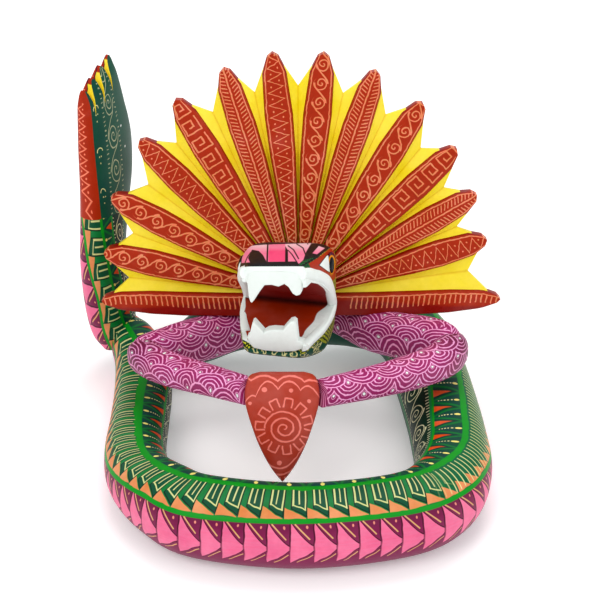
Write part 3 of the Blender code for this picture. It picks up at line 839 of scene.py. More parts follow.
def paint_group():
    """Acrylic paint on carved wood: brush streaks, grain, worn gloss."""
    name = "painted_wood"
    if name in bpy.data.node_groups:
        return bpy.data.node_groups[name]
    tree = bpy.data.node_groups.new(name, "ShaderNodeTree")
    face = tree.interface
    face.new_socket(name="Colour", in_out="INPUT", socket_type="NodeSocketColor")
    for words, value in (("Streaks", 0.16), ("Line", 0.0), ("Gloss", 0.42)):
        socket = face.new_socket(name=words, in_out="INPUT", socket_type="NodeSocketFloat")
        socket.default_value = value
    for words, kind in (("Colour", "Color"), ("Roughness", "Float"), ("Height", "Float")):
        face.new_socket(name=words, in_out="OUTPUT", socket_type=f"NodeSocket{kind}")
    start = tree.nodes.new("NodeGroupInput")
    end = tree.nodes.new("NodeGroupOutput")
    place = object_place(tree)
    streaks, line, gloss = (Wire(tree, start.outputs[words]) for words in ("Streaks", "Line", "Gloss"))
    clouds = noise(tree, place, 55, 3.0, 0.6)
    fine = noise(tree, place, 420, 3.0, 0.65)
    shade = 1.0 + ((clouds - 0.5) * 1.5 + (fine - 0.5) * 0.9) * streaks
    hsv = tree.nodes.new("ShaderNodeHueSaturation")
    tree.links.new(start.outputs["Colour"], hsv.inputs["Color"])
    tree.links.new(shade.socket, hsv.inputs["Value"])
    tree.links.new((1.06 - (clouds - 0.5) * streaks).socket, hsv.inputs["Saturation"])
    tree.links.new(hsv.outputs["Color"], end.inputs["Colour"])
    rough = gloss + (clouds - 0.5) * 0.18 + (fine - 0.5) * 0.12 + line * 0.05
    tree.links.new(rough.clamped().socket, end.inputs["Roughness"])
    height = line * 0.6 + fine * 0.35 + clouds * 0.5
    tree.links.new(height.socket, end.inputs["Height"])
    return tree


def new_paint(name):
    """A new material, its node tree and the user's paints."""
    made = bpy.data.materials.new(name)
    made.use_nodes = True
    return made, made.node_tree, paints()


def painted(made, shade, line=None, streaks=0.16, gloss=None):
    """Finish a material: a colour through the paint group into its Principled shader."""
    tree = made.node_tree
    group = tree.nodes.new("ShaderNodeGroup")
    group.node_tree = paint_group()
    group.inputs["Streaks"].default_value = streaks
    group.inputs["Gloss"].default_value = sizes().roughness if gloss is None else gloss
    feed(tree, shade, group.inputs["Colour"])
    if line is not None:
        tree.links.new(line.socket, group.inputs["Line"])
    shader = tree.nodes["Principled BSDF"]
    shader.inputs["Specular IOR Level"].default_value = PAINT_GLINT
    relief = tree.nodes.new("ShaderNodeBump")
    relief.inputs["Strength"].default_value = 0.12
    relief.inputs["Distance"].default_value = PAINT_RELIEF
    tree.links.new(group.outputs["Colour"], shader.inputs["Base Color"])
    tree.links.new(group.outputs["Roughness"], shader.inputs["Roughness"])
    tree.links.new(group.outputs["Height"], relief.inputs["Height"])
    tree.links.new(relief.outputs["Normal"], shader.inputs["Normal"])
    return made


def pattern_map(tree, layer="pattern"):
    """The u and v of a piece's own pattern map."""
    node = tree.nodes.new("ShaderNodeUVMap")
    node.uv_map = layer
    u, v, _ = separated(tree, Wire(tree, node.outputs[0]))
    return u, v


def shaken(tree, u, v, amount, scale=0.6):
    """The same coordinates, strayed as a hand strays."""
    first = noise(tree, (u, v), scale, 1.0)
    second = noise(tree, (v, u, 7.3), scale, 1.0)
    return u + (first - 0.5) * amount, v + (second - 0.5) * amount


# Painted bands of the body; u counts units of ornament, v runs from 0 to 1 across a band,
# on the belly in mm


def teeth_material():
    """Dark teeth with pale line figures over orange triangles, between bright lines."""
    made, tree, p = new_paint("teeth_band")
    u, v = pattern_map(tree)
    first = noise(tree, (u, v * 0.7), 1.3, 1.0)
    second = noise(tree, (v, u, 4.0), 1.7, 1.0)
    lean, striped = pattern_map(tree, "size")
    pitch = 10.6
    height = 18.0
    y = v + (second - 0.5) * 0.10
    along = u + (first - 0.5) * 0.18 - y * lean
    x = along.part() * pitch
    up = y * height
    notch = (along + 0.23).part()
    slope = 0.60 + 0.34 * notch
    tooth = (x - 8.1).most(0.1 - x).most((y - slope + 0.03) * height)
    orange = ((slope - y) * height).most((y - 0.93) * height).most((notch - 0.93) * pitch)
    glyph = (abs(up - 9.4 - 0.46 * (x - 1.2)) * 0.9).most(abs(x - 4.15) - 3.0)
    for left, right, low, high in ((1.0, 1.3, 1.5, 9.6), (7.1, 7.1, 1.8, 12.2), (4.1, 4.1, 2.0, 8.8)):
        glyph = glyph.least(bar(x, up, left, right, low, high))
    glyph = glyph - sizes().line_width * 0.42
    run = (u - y * lean * 0.8 + (first - 0.5) * 0.05) * 2.7
    fine = (abs(run.part() - 0.5) * 3.6 - 0.34).most(abs(y - 0.51) * height - 6.9).inside(0.12)
    plain = 1.0 - striped
    tooth_mask = tooth.inside(0.14) * plain
    glyph_mask = glyph.inside(0.14) * plain + fine * striped
    orange_mask = orange.inside(0.14)
    rim = (abs(tooth + 0.35) - 0.35).inside(0.12) * tooth_mask
    ridge = near_zero(up, 3.0, 0.2)
    lower = near_zero((v - 1.0) * height + (first - 0.5) * 0.8, 2.4, 0.2)
    clouds = noise(tree, (u, v), 3.0).ramp(0.35, 0.65)
    ground = mix(tree, clouds, p.bright_green, p.light_green)
    ground = mix(tree, 0.5 + striped * 0.25, ground, p.deep_green)
    inner = mix(tree, rim, p.tooth_green, p.night_green)
    base = mix(tree, tooth_mask, ground, inner)
    tint = noise(tree, (u, 3.3), 1.1).ramp(0.35, 0.65)
    base = mix(tree, orange_mask, base, mix(tree, tint * 0.2, p.orange, p.wedge_orange))
    base = mix(tree, glyph_mask * 0.92, base, mix(tree, 0.18, p.cream, p.bright_green))
    base = mix(tree, ridge.most(lower), base, p.bright_green)
    return painted(made, base, glyph_mask.most(orange_mask), streaks=0.24)


def belly_material():
    """Pink scales with maroon corners that hold a line and a dot."""
    made, tree, p = new_paint("belly_band")
    u, v = pattern_map(tree)
    wobble = noise(tree, (u, v * 0.1), 1.4, 1.0)
    x = (u + (wobble - 0.5) * 0.14).part()
    y = v + (wobble - 0.5) * 1.6
    pitch = 10.7
    px = x * pitch
    upper = y - 13.0 * (1.0 - (1.0 - x).power(1.35))
    lower = 24.2 - 9.0 * x - y
    corner = upper.inside(0.15).most(lower.inside(0.15))
    rim = near_zero(upper, 0.75, 0.15).most(near_zero(lower, 0.6, 0.15))
    post = near_zero((abs(x - 0.5) - 0.5) * pitch, 0.8, 0.15)
    line = segment(px, y, (2.2, 1.6), (8.6, 9.4)) - 0.34
    dot = length((px - 7.9) * 1.3, (y - 3.4) * 0.75) - 0.62
    low_line = segment(px, y, (3.4, 23.4), (9.9, 17.7)) - 0.26
    line_mask = line.inside(0.12).most(low_line.inside(0.12))
    ground = mix(tree, noise(tree, (u, v), 0.9).ramp(0.3, 0.75) * 0.3, p.pink, p.hot_pink)
    maroon = mix(tree, y.ramp(9.0, 1.0) * 0.4, p.maroon, p.outline)
    base = mix(tree, corner, ground, maroon)
    base = mix(tree, line_mask * 0.9, base, mix(tree, 0.25, p.orange, p.cream))
    base = mix(tree, dot.inside(0.12), base, mix(tree, 0.35, p.orange, p.pink))
    base = mix(tree, rim.most(post * y.ramp(26.0, 8.0)), base, p.outline)
    base = mix(tree, near_zero(v - 0.2, 2.2, 0.2), base, p.bright_green)
    return painted(made, base, line_mask.most(rim), streaks=0.2)


def wedges_material():
    """Dark green between zigzag lines, with orange wedges and rows of yellow dots."""
    made, tree, p = new_paint("wedge_band")
    u, v = pattern_map(tree)
    wobble = noise(tree, (u, v), 1.6, 1.0)
    turn = noise(tree, (u, 9.0), 0.8, 0.0)
    x = (u + (wobble - 0.5) * 0.12 + (turn - 0.5) * v * 0.30).part()
    y = v + (wobble - 0.5) * 0.08
    pitch = 13.0
    height = 13.0
    off = abs(x - 0.5)
    wedge = ((off - 0.19 * ((y - 0.36) / 0.6)) * pitch).most((y - 0.95) * height)
    zigzag = abs((off - 0.46 * y) * pitch) * 0.75 - 0.5
    side = (0.5 - off) * pitch
    large = length(side * 1.5, (y - 0.21) * height) - 1.25
    dots = large
    for place, radius in ((0.37, 0.40), (0.47, 0.36), (0.56, 0.40), (0.65, 0.34), (0.74, 0.30)):
        dots = dots.least(length(side, (y - place) * height * 1.1) - radius)
    dot_mask = dots.inside(0.15)
    wedge_mask = wedge.inside(0.18)
    blue = noise(tree, (u, v), 1.2).ramp(0.35, 0.7)
    ground = mix(tree, blue, p.deep_green, p.tooth_green)
    ground = mix(tree, wedge.ramp(2.2, 0.3) * 0.45, ground, p.night_green)
    base = mix(tree, zigzag.inside(0.35) * 0.8, ground, mix(tree, 0.6, p.deep_green, p.bright_green))
    base = mix(tree, wedge_mask, base, p.wedge_orange)
    base = mix(tree, dot_mask, base, mix(tree, large.inside(0.15) * 0.5, p.cream, p.yellow))
    ridge = near_zero(v * height, 2.4, 0.2)
    inner = near_zero((v - 1.0) * height, 2.2, 0.2)
    base = mix(tree, ridge.most(inner), base, p.bright_green)
    return painted(made, base, dot_mask.most(wedge_mask), streaks=0.3)


def running_scroll(x, y, pitch, radius, gap, inner, slope):
    """Distance to a running scroll: a spiral about nought and the wave that joins it on."""
    r = length(x, y)
    turn = y.angle(x) / (2 * math.pi)
    spiral = abs((r / gap - turn + 0.5).part() - 0.5) * gap
    rise = radius * (x / pitch * math.pi).cosine() * (x.above(0.0) * 2.0 - 1.0)
    wave = abs(y - rise) * slope
    return spiral.most(r - radius).least(wave.most(inner - r))


def scrolls_material(name, ground, rims, stretch, strength):
    """Cream spirals and rows of dashes on a dark ground."""
    made, tree, p = new_paint(name)
    u, v = pattern_map(tree)
    wobble = noise(tree, (u * 2, v * 2), 1.6, 1.0)
    second_wobble = noise(tree, (v * 2, u * 2, 3.0), 1.6, 1.0)
    pitch = 16.0
    height = 16.0
    x = ((u * 0.8 + (wobble - 0.5) * 0.08).part() - 0.5) * pitch
    y = (v - 0.5) * height * stretch + (second_wobble - 0.5) * 1.6
    line = running_scroll(x, y, pitch, 6.0, 2.8, 5.5, 0.6) - sizes().line_width * 0.32
    dash_x = ((u * 5.6 + (wobble - 0.5) * 0.9).part() - 0.5) * (pitch / 7.0)
    dash = (abs(dash_x) - 0.26).most(abs(abs(y) - 8.6) - 1.5)
    mask = line.inside(0.15).most(dash.inside(0.12) * 0.85) * strength
    base = mix(tree, mask, ground, mix(tree, 0.3, p.cream, p.lip_white))
    if rims:
        edges = near_zero(v * height, 2.0, 0.2).most(near_zero((v - 1.0) * height, 3.0, 0.3))
        base = mix(tree, edges, base, mix(tree, 0.5, p.light_green, p.deep_green))
    return painted(made, base, mask, streaks=0.3)


def rear_material():
    """Plain dark green with a few small white dots."""
    made, tree, p = new_paint("rear_green")
    place = object_place(tree)
    cells = tree.nodes.new("ShaderNodeTexVoronoi")
    cells.inputs["Scale"].default_value = 95.0
    cells.inputs["Randomness"].default_value = 1.0
    tree.links.new(place.socket, cells.inputs["Vector"])
    keep = noise(tree, place, 40, 0.0).ramp(0.55, 0.6)
    dots = (Wire(tree, cells.outputs["Distance"]) - 0.07).inside(0.02) * keep
    base = mix(tree, dots, p.rear_green, p.lip_white)
    return painted(made, base, dots, streaks=0.3)


def tail_red_material():
    """Red-brown feather on the tail's edge with a coral zigzag."""
    made, tree, p = new_paint("tail_feather")
    u, v = pattern_map(tree)
    wobble = noise(tree, (u, v), 1.3, 1.0)
    y = v + (wobble - 0.5) * 0.08
    x = u + (wobble - 0.5) * 0.15
    height = 15.0
    wave = abs(x.part() - 0.5) * 2.0
    line = abs((y - (0.28 + 0.36 * wave)) * height) * 0.6 - 0.4
    spot = abs((x + 0.5).part() - 0.5) * 6.0
    far = abs(x.part() - 0.5) * 6.0
    dots = length(spot, (y - 0.36) * height).least(length(far, (y - 0.56) * height)) - 0.5
    mask = line.least(dots).inside(0.15)
    base = mix(tree, mask * 0.92, p.feather_red, p.feather_line)
    return painted(made, base, mask, streaks=0.24)


def tail_side_material():
    """Dark green with a cream bow over two dots in each unit."""
    made, tree, p = new_paint("tail_side")
    u, v = pattern_map(tree)
    wobble = noise(tree, (u, v), 1.1, 1.0)
    x = ((u * 0.62 + 0.35).part() - 0.5) * 24.0
    y = (v - 0.46 + (wobble - 0.5) * 0.5) * 11.0
    bow = (abs(length(x + 1.0, y) - 2.3) - 0.26).most(x + 1.0)
    dots = length(x - 1.8, abs(y) - 0.9).least(length(x - 5.6, y + 0.4)) - 0.42
    mask = bow.least(dots).inside(0.15)
    ground = mix(tree, wobble.ramp(0.3, 0.7) * 0.6, p.rear_green, p.deep_green)
    base = mix(tree, mask * 0.9, ground, p.cream)
    return painted(made, base, mask, streaks=0.3)


def tail_cut_material():
    """Cut edges between the tail's feathers: yellow under red tips, red in front."""
    made, tree, p = new_paint("tail_cut_paint")
    x, y, z = separated(tree, object_place(tree))
    centre = TAIL_BOARD_CENTRE * MM + STAND
    dx = (x - centre.x) / MM
    dy = (y - centre.y) / MM
    behind = TAIL_BOARD_DEPTH / 2 - (dx * TAIL_FRONT.x + dy * TAIL_FRONT.y)
    side = dx * TAIL_ACROSS.x + dy * TAIL_ACROSS.y
    (low_behind, low_height), (high_behind, high_height) = TAIL_TIPS[0], TAIL_TIPS[-1]
    slope = (high_height - low_height) / (high_behind - low_behind)
    crest = z / MM - low_height - (behind - low_behind) * slope
    edge = 0.7 + (z / MM * 0.9).sine() * 0.3
    red = (-1.3 - crest).inside(0.3)
    red = red.most((edge - side).inside(0.3)).most((behind - 2.5).inside(0.3))
    base = mix(tree, red, p.yellow, p.feather_red)
    seam = (abs(side - edge) - 0.3).inside(0.15) * (behind - 2.5).ramp(0, 0.5)
    base = mix(tree, seam, base, p.outline)
    marks = (z / MM * 0.45).part() - 0.5
    line = (abs(marks) * 2.2 - 0.35).most(abs(side - 3.0) - 1.0).inside(0.12)
    base = mix(tree, line * red, base, p.feather_line)
    return painted(made, base, streaks=0.18)


# Feather motifs; u is mm from the middle of the fan, v mm across, and a second map
# holds the feather's half width


def feather_lines(kind, u, v, half):
    """Distance in mm to the motif that is painted along a feather of a half width."""
    w = sizes().line_width
    if kind == "zigzag":
        pitch = 6.6
        swing = half * 0.60
        wave = abs((u / pitch).part() - 0.5) * 4.0 - 1.0
        line = abs(v - wave * swing) * 0.72 - w / 2
        spot_u = repeated(u, pitch)
        far = abs(spot_u) - pitch / 2
        dots = length(spot_u, v - swing * 0.55).least(length(far, v + swing * 0.55)) - w * 0.62
        return line.least(dots)
    if kind == "strokes":
        across = abs(repeated(u + v * 0.12, 2.8))
        reach = 1.7 + u.ramp(105.0, 45.0) * 1.1
        middle = abs(v + half - 2.4 - reach) - reach
        return across.most(middle) - w / 2
    if kind == "comb":
        centre = abs(v - 0.2) - w / 2
        across = abs(repeated(u - abs(v) * 0.5, 2.1))
        hatch = across.most(abs(abs(v) - half * 0.46) - half * 0.20) - w * 0.42
        return centre.least(hatch)
    if kind == "keys":
        x = repeated(u, 10.4)
        y = v / (half / 6.4)
        key = strokes(x, y, [
            (4.4, -4.0), (-3.4, -4.0), (-3.4, 4.0), (3.2, 4.0), (3.2, -1.2), (-0.4, -1.2), (-0.4, 1.4),
        ])
        return key - w / 2
    pitch = 10.2
    return running_scroll(repeated(u, pitch), -v, pitch, 3.5, 2.3, 3.2, 0.62) - w * 0.46


def feather_material(kind):
    """Red-brown feather with a coral motif, border lines and painted shade along its edges."""
    made, tree, p = new_paint(f"feather_{kind}")
    u, v = pattern_map(tree)
    half, side = pattern_map(tree, "size")
    if kind == "strokes":
        v = v * (side.above(6.0) * 2.0 - 1.0)
    u1, v1 = shaken(tree, u, v, sizes().hand_shake * 2.2, 0.35)
    start = CREST_INNER_RADIUS + MOTIF_START - u
    line = feather_lines(kind, u1, v1, half).most(start)
    border = abs(v1 - (half - 1.3)) - 0.3
    if kind == "strokes":
        border = abs(v1 + (half - 1.6)) - 0.3
    if kind in ("comb", "scrolls", "zigzag"):
        border = border.least(abs(v1 + (half - 1.3)) - 0.3)
    line = line.least(border.most(start - 6.0))
    mask = line.inside(0.14)
    coral = mix(tree, noise(tree, (u, v), 0.8).ramp(0.3, 0.7), p.feather_line, p.orange)
    # Painted shade: the red darkens towards the feather's edges and on its side walls, where it turns
    # down to the yellow
    red = mix(tree, ((abs(v) - half) * 0.6 + 0.6).clamped() * 0.4, p.feather_red, p.outline)
    base = mix(tree, mask * 0.92, red, coral)
    return painted(made, base, mask, streaks=0.26)


def yellow_material():
    """Yellow between the feathers, with painted shade down in the groove and towards the middle of the
    fan.
    """
    made, tree, p = new_paint("valley_yellow")
    u, v = pattern_map(tree)
    # Painted shade: ochre down the middle of the groove and towards the roots of the feathers
    groove = near_zero(v, 0.5, 0.35)
    shade = mix(tree, groove * 0.35, p.yellow, p.ochre)
    shade = mix(tree, u.ramp(36, 15) * 0.2, shade, p.ochre)
    return painted(made, shade, streaks=0.14)


def plain_material(name, paint, streaks=0.22, gloss=None):
    """One paint with brush streaks and grain."""
    made, _, _ = new_paint(name)
    return painted(made, paint, streaks=streaks, gloss=gloss)


def arm_material():
    """Purple under pink rings whose discs overlap like roof tiles, with painted shade where each tube
    starts.
    """
    made, tree, p = new_paint("arm_rings")
    u, v = pattern_map(tree)
    u1, v1 = shaken(tree, u, v, 6.0, 0.045)
    u1, v1 = shaken(tree, u1, v1, 1.0, 0.4)
    row = (v1 / DISC_ROW).whole()
    chosen = None
    for ahead in (-1, 0, 1, 2):
        index = row + ahead
        shift = (index * 0.5).part() * DISC_BREADTH
        du = repeated(u1 - shift + DISC_BREADTH / 2, DISC_BREADTH)
        dv = v1 - (index + 0.5) * DISC_ROW
        distance = length(du, dv * 1.06)
        if chosen is None:
            chosen = distance
        else:
            inside = distance.below(DISC_RADIUS)
            chosen = chosen * (1.0 - inside) + distance * inside
    rings = (abs(repeated(chosen, RING_GAP)) - 0.32).most(1.2 - chosen)
    edge = abs(chosen - DISC_RADIUS + 0.5) - 0.32
    mask = rings.least(edge).inside(0.16)
    dots = (chosen - 0.7).inside(0.16)
    dark = noise(tree, (u, v), 0.05, 1.0).ramp(0.4, 0.7)
    # Painted shade: darker, with fainter rings, towards where each tube starts: at the shoulders under
    # the crest and at the elbows where the forearms begin
    start = u.ramp(34.0, 4.0)
    base = mix(tree, dark * 0.3, p.arm_purple, p.maroon)
    base = mix(tree, start * 0.75, base, p.outline)
    light = mix(tree, dark * 0.35, p.arm_line, p.nose_pink)
    base = mix(tree, mask, base, mix(tree, start * 0.35, light, p.arm_purple))
    base = mix(tree, dots, base, p.lip_white)
    return painted(made, base, mask.most(dots), streaks=0.2)


def scallop(x, start, pitch, top, depth):
    """Height of a line of humps that meet in cusps."""
    hump = abs(((x - start) * (math.pi / pitch)).sine()).power(0.8)
    return top - depth + hump * depth


def shield_material():
    """Red-brown shield: a spiral, a wheel of figures round it, scalloped lines."""
    made, tree, p = new_paint("shield_face")
    u, _ = pattern_map(tree)
    _, b = face_plane(tree)
    x, z = shaken(tree, u, (SHIELD_TOP_LINE - b) * SHIELD_UNIT, 0.9, 0.35)
    w = sizes().line_width * 1.2
    # The spiral starts at the left and runs over the top inwards
    cx = x - 1.0
    cz = (z + 32.0) * 0.94
    r = length(cx, cz)
    turn = (cz.angle(-cx) / (2 * math.pi)).part()
    wide = 9.9 - turn * 3.5
    line = abs(((wide - r) / 3.5 + 0.5).part() - 0.5) * 3.5
    line = line.most(r - wide - 0.8).most(0.7 - r) - w * 0.5
    # The wheel of open figures
    wx = (x - 1.0) * 1.12
    wz = z + 30.8
    far = length(wx, wz)
    place = wx.angle(wz) / (2 * math.pi) - 0.028
    cell = place * WHEEL_COUNT + 0.5
    odd = noise(tree, (cell.whole(), 3.0), 5.0, 0.0) - 0.5
    side = (cell.part() - 0.5) * (2 * math.pi / WHEEL_COUNT) * far
    low = 11.6 + odd * 1.6
    high = 16.2 + odd * 2.0
    legs = abs(abs(side) - 2.3).most(abs(far - (low + high) * 0.5) - (high - low) * 0.5)
    cap = abs(far - high).most(abs(side) - 2.3)
    line = line.least(legs.least(cap) - w * 0.5)
    # Scalloped lines along the top and the tip
    droop = (x - 7.0).most(0.0).power(2.0) * 0.03
    outer = abs(z - scallop(x, -2.2, 13.4, -2.0, 2.7) + droop) * 0.8
    side_fall = (abs(x) - 6.0).most(0.0).power(2.0) * (0.075 - x.above(0.0) * 0.03)
    inner = abs(z - scallop(x, -2.0, 11.3, -5.0, 4.6) + side_fall) * 0.8
    tip = (x + 1.5).power(2.0)
    first = (abs(z + 55.4 - tip * 0.09) * 0.75).most(abs(x) - 10.0)
    second = abs(z + 59.2 - tip * 0.08) * 0.75
    ends = (abs((x * 0.36).part() - 0.5) * 2.8).most(z + 60.8)
    for drawn in (outer, inner, first, second, ends):
        line = line.least(drawn - w * 0.46)
    for dot_x, dot_z, size in SHIELD_DOTS:
        line = line.least(length(x - dot_x, z - dot_z) - size)
    mask = line.inside(0.16)
    ground = mix(tree, 0.07, mix(tree, 0.08, p.feather_red, p.orange), p.nose_pink)
    base = mix(tree, mask * 0.94, ground, mix(tree, 0.25, p.feather_line, p.nose_pink))
    return painted(made, base, mask, streaks=0.28)


# Head

# Painted face in half millimetres on the plane that faces the viewer, downwards
# and to the right, about a point 100 mm above the table at (300, 300)
SNOUT = [
    (239.5, 267.6), (240.0, 256), (244, 247), (251, 241.4),
    (322, 237.6), (331, 246), (318, 257), (300, 268.4),
]
NOSE_SQUARE = [(268.2, 230), (284.6, 230), (285.6, 262), (268.8, 262)]
INK_PATCHES = [
    [(251.5, 249), (258.6, 250.6), (263, 255), (266.7, 261.5), (266.7, 264), (251, 264), (248, 258)],
    [(285.0, 232), (287.4, 232), (287.8, 246), (291, 255), (296.5, 264), (285.2, 264)],
    [(240, 262.6), (270, 262.2), (297, 261.6), (301, 268), (241, 268.6)],
    [(311.5, 242), (329, 240.5), (331.5, 247), (317.5, 256.5), (303, 261), (306, 252)],
]
# Strokes of ink: start, end, half width
INK_STROKES = [
    ((267.0, 230), (267.5, 263), 0.85), ((245.2, 262.5), (247.2, 257.2), 0.6),
    ((247.2, 257.2), (250.5, 252), 0.6), ((288.0, 245), (293.5, 249.5), 0.65),
    ((293.5, 249.5), (298.6, 259), 0.65), ((296.3, 230), (296.8, 243), 0.6),
    ((296.8, 243), (303.0, 247.5), 0.65), ((303.0, 247.5), (305.6, 255), 0.65),
    ((288, 250), (292, 254.5), 0.55), ((292, 254.5), (296.5, 262), 0.6),
    ((305, 228), (308, 243), 0.6), ((276, 229), (276.5, 240), 0.5),
    ((250, 243.6), (266, 242.6), 0.9), ((266, 242.6), (322, 240.4), 1.0),
]
JEWEL = [(312.5, 253.2), (319.0, 245.2), (325.2, 247.4), (317.0, 254.2)]
EYE_RING = (332.2, 265.2)
EYE_CORNER = [(319.6, 265.2), (327.2, 255.2), (330.0, 254.6), (330.0, 271.6), (328.0, 270.8)]
GREEN_CORNER = [(298.5, 264.5), (306, 258), (319, 256.5), (321, 262), (314, 268), (301, 268.4)]


def head_place(x, forward, z):
    """From head coordinates in mm about the hinge to the layout."""
    turned = Matrix.Rotation(HEAD_YAW, 3, "Z") @ Vector((x, -forward, z))
    return (JAW_HINGE + turned) * MM


def head_local(tree):
    """Object coordinates as mm about the hinge: sideways, forward, up."""
    mapping = tree.nodes.new("ShaderNodeMapping")
    mapping.vector_type = "TEXTURE"
    mapping.inputs["Location"].default_value = JAW_HINGE * MM + STAND
    mapping.inputs["Rotation"].default_value = (0, 0, HEAD_YAW)
    mapping.inputs["Scale"].default_value = (MM, MM, MM)
    tree.links.new(object_place(tree).socket, mapping.inputs["Vector"])
    x, y, z = separated(tree, Wire(tree, mapping.outputs[0]))
    return x, -y, z


def face_plane(tree):
    """Object coordinates flattened on a plane that faces the front and the sky, in half mm."""
    x, y, z = separated(tree, object_place(tree))
    across = (x - STAND.x) / MM
    deep = (y - STAND.y) / MM * math.sin(VIEW_ELEVATION)
    tall = (z - VIEW_POINT.z) / MM * math.cos(VIEW_ELEVATION)
    return across * FACE_SCALE + FACE_MIDDLE, FACE_MIDDLE - (deep + tall) * FACE_SCALE


def dot_rows(x, y, pitch, radius):
    """Signed distance to dots in staggered rows."""
    tall = pitch * 0.87
    aside = repeated(x + ((y / tall).whole() * 0.5).part() * pitch, pitch)
    return length(aside, repeated(y, tall)) - radius


def head_material():
    """White lips, pink and black snout, red-brown round the eyes, dotted cheeks."""
    made, tree, p = new_paint("head_paint")
    x, forward, up = head_local(tree)
    a, b = face_plane(tree)
    wobble = noise(tree, (x, forward, up), 0.35, 1.0)
    second_wobble = noise(tree, (up, x, forward), 0.45, 1.0)
    lean = forward * 0.86 + abs(x) * 0.5 + (wobble - 0.5) * 1.2
    rise = up + forward * 0.25 + (second_wobble - 0.5) * 1.2
    dots = dot_rows(lean, rise, 1.6, 0.46).inside(0.1)
    base = mix(tree, dots, p.night_green, p.scale_green)
    chin = (up + 15.5 - (forward - 12.0).ramp(0, 16) * 9.0 + (wobble - 0.5) * 2.0).inside(0.4)
    hooks = length(((x * 0.2 + wobble).part() - 0.5) * 5.0, ((up * 0.33).part() - 0.5) * 3.0)
    hooks = (abs(hooks - 1.1) - 0.3).inside(0.15)
    base = mix(tree, chin, base, mix(tree, hooks * 0.8, p.rear_green, p.cream))
    # Snout, from the front edge of its top back to the brow
    face = mix(tree, b.ramp(242, 254), mix(tree, 0.5, p.nose_pink, p.lip_white), p.nose_pink)
    face = mix(tree, (wobble - 0.5) * 0.8, face, p.hot_pink)
    square = polygon(a, b, NOSE_SQUARE)
    glow = mix(tree, b.ramp(246, 252), p.nose_pink, p.hot_pink)
    face = mix(tree, square.inside(0.4), face, glow)
    snout = polygon(a, b, SNOUT).most(-26.0 - forward)
    ink = abs(snout + 0.6) - 0.75
    for corners in INK_PATCHES:
        ink = ink.least(polygon(a, b, corners))
    for start, end, width in INK_STROKES:
        ink = ink.least(segment(a, b, start, end) - width)
    jewel = polygon(a, b, JEWEL)
    ink = ink.most(-jewel)
    base = mix(tree, snout.inside(0.35), base, face)
    cheek_corner = polygon(a, b, GREEN_CORNER)
    fine = dot_rows(a, b, 1.9, 0.45).inside(0.1)
    dotted = mix(tree, fine * 0.75, p.night_green, p.light_green)
    base = mix(tree, cheek_corner.inside(0.4), base, dotted)
    # Red-brown round the eyes and their white corners
    level = up - x * HEAD_SLANT
    around = segment(forward, level, (-6.0, 21.5), (21.0, 34.5)) - 9.8
    beside = (abs(x) - 15.0).ramp(-0.5, 0.5)
    base = mix(tree, around.inside(0.4) * beside * (snout - 0.4).ramp(0.0, 0.6), base, p.feather_red)
    white = polygon(a, b, EYE_CORNER)
    beside = beside * x.above(0.0)
    base = mix(tree, white.inside(0.3) * beside, base, p.lip_white)
    base = mix(tree, (abs(white - 0.4) - 0.35).inside(0.15) * beside, base, p.black)
    base = mix(tree, ink.inside(0.3) * (snout - 0.4).inside(0.3), base, p.black)
    # Lips
    upper = up.ramp(0.0, 3.0)
    lip = (polygon(forward, up, LIP_WEDGE) + (wobble - 0.5) * 0.9 - 3.6 - upper * 1.6).inside(0.3)
    front = (forward - 33.5).ramp(0, 1) * up.ramp(29.0, 31.0) * (b - 267.0).ramp(-0.3, 0.3)
    lip = lip * (1.0 - (267.0 - b).ramp(-0.3, 0.3) * (forward - 30.0).ramp(0, 3)).clamped()
    lip = lip.most(front)
    # The lower lip's left end is cut off aslant
    kept = (-x - 11.5) * 1.1 - up - 5.6
    cut = (-kept).inside(0.3) * (forward - 24.0).ramp(0, 4) * x.below(0.0) * up.below(4.0)
    lip = lip * (1.0 - cut)
    base = mix(tree, lip, base, p.lip_white)
    return painted(made, base, ink.inside(0.3), streaks=0.14)


def mouth_material():
    """Red-brown inside of the mouth, with painted shade under the roof and darkest along the crease at
    the hinge.
    """
    made, tree, p = new_paint("mouth_inside")
    x, forward, up = head_local(tree)
    # Painted shade: darker on the roof, which faces down, and near black along the crease at the hinge
    crease = length(forward, up).ramp(5.0, 0.5)
    roof = up.ramp(0.2, 3.0)
    base = mix(tree, roof * 0.42, p.mouth_red, p.outline)
    base = mix(tree, crease * 0.75, base, p.black)
    # White border of the jaws, wider on the floor than under the roof
    narrowing = forward.ramp(0, 14) * 1.0 + forward.ramp(14, 27) * 3.4 + forward.ramp(27, 38) * 3.0
    inwards = 23.8 - narrowing - abs(x - HEAD_ASIDE)
    floor = 3.1 + forward.ramp(0, 10) * 3.4
    border = floor + up.ramp(0.3, 1.5) * (3.1 - forward.ramp(0, 11) * 1.6 - floor)
    border = border * (0.28 + x.above(0.0) * 0.72)
    base = mix(tree, (inwards - border).inside(0.3), base, p.lip_white)
    return painted(made, base, streaks=0.24)


def eye_material():
    """Black pupil in an ochre ring with a dark rim, on the outer side of the eye."""
    made, tree, p = new_paint("eye_paint")
    x, forward, up = head_local(tree)
    level = up - x * HEAD_SLANT - EYE_PLACE[2]
    r = length((forward - EYE_PLACE[1]) * EYE_RADII[2] / EYE_RADII[1], level)
    left = mix(tree, (r - 4.6).inside(0.15), p.lip_white, p.black)
    # The right eye is painted as the photograph shows it
    a, b = face_plane(tree)
    pupil = length((a - EYE_RING[0]) * 3.1, b - EYE_RING[1] + 0.6) - 8.2
    ring = length((a - EYE_RING[0]) * 2.5, b - EYE_RING[1]) - 10.6
    right = mix(tree, ring.inside(0.3), p.outline, p.ochre)
    right = mix(tree, pupil.inside(0.3), right, p.black)
    base = mix(tree, x.above(0.0), left, right)
    return painted(made, base, streaks=0.12, gloss=0.25)


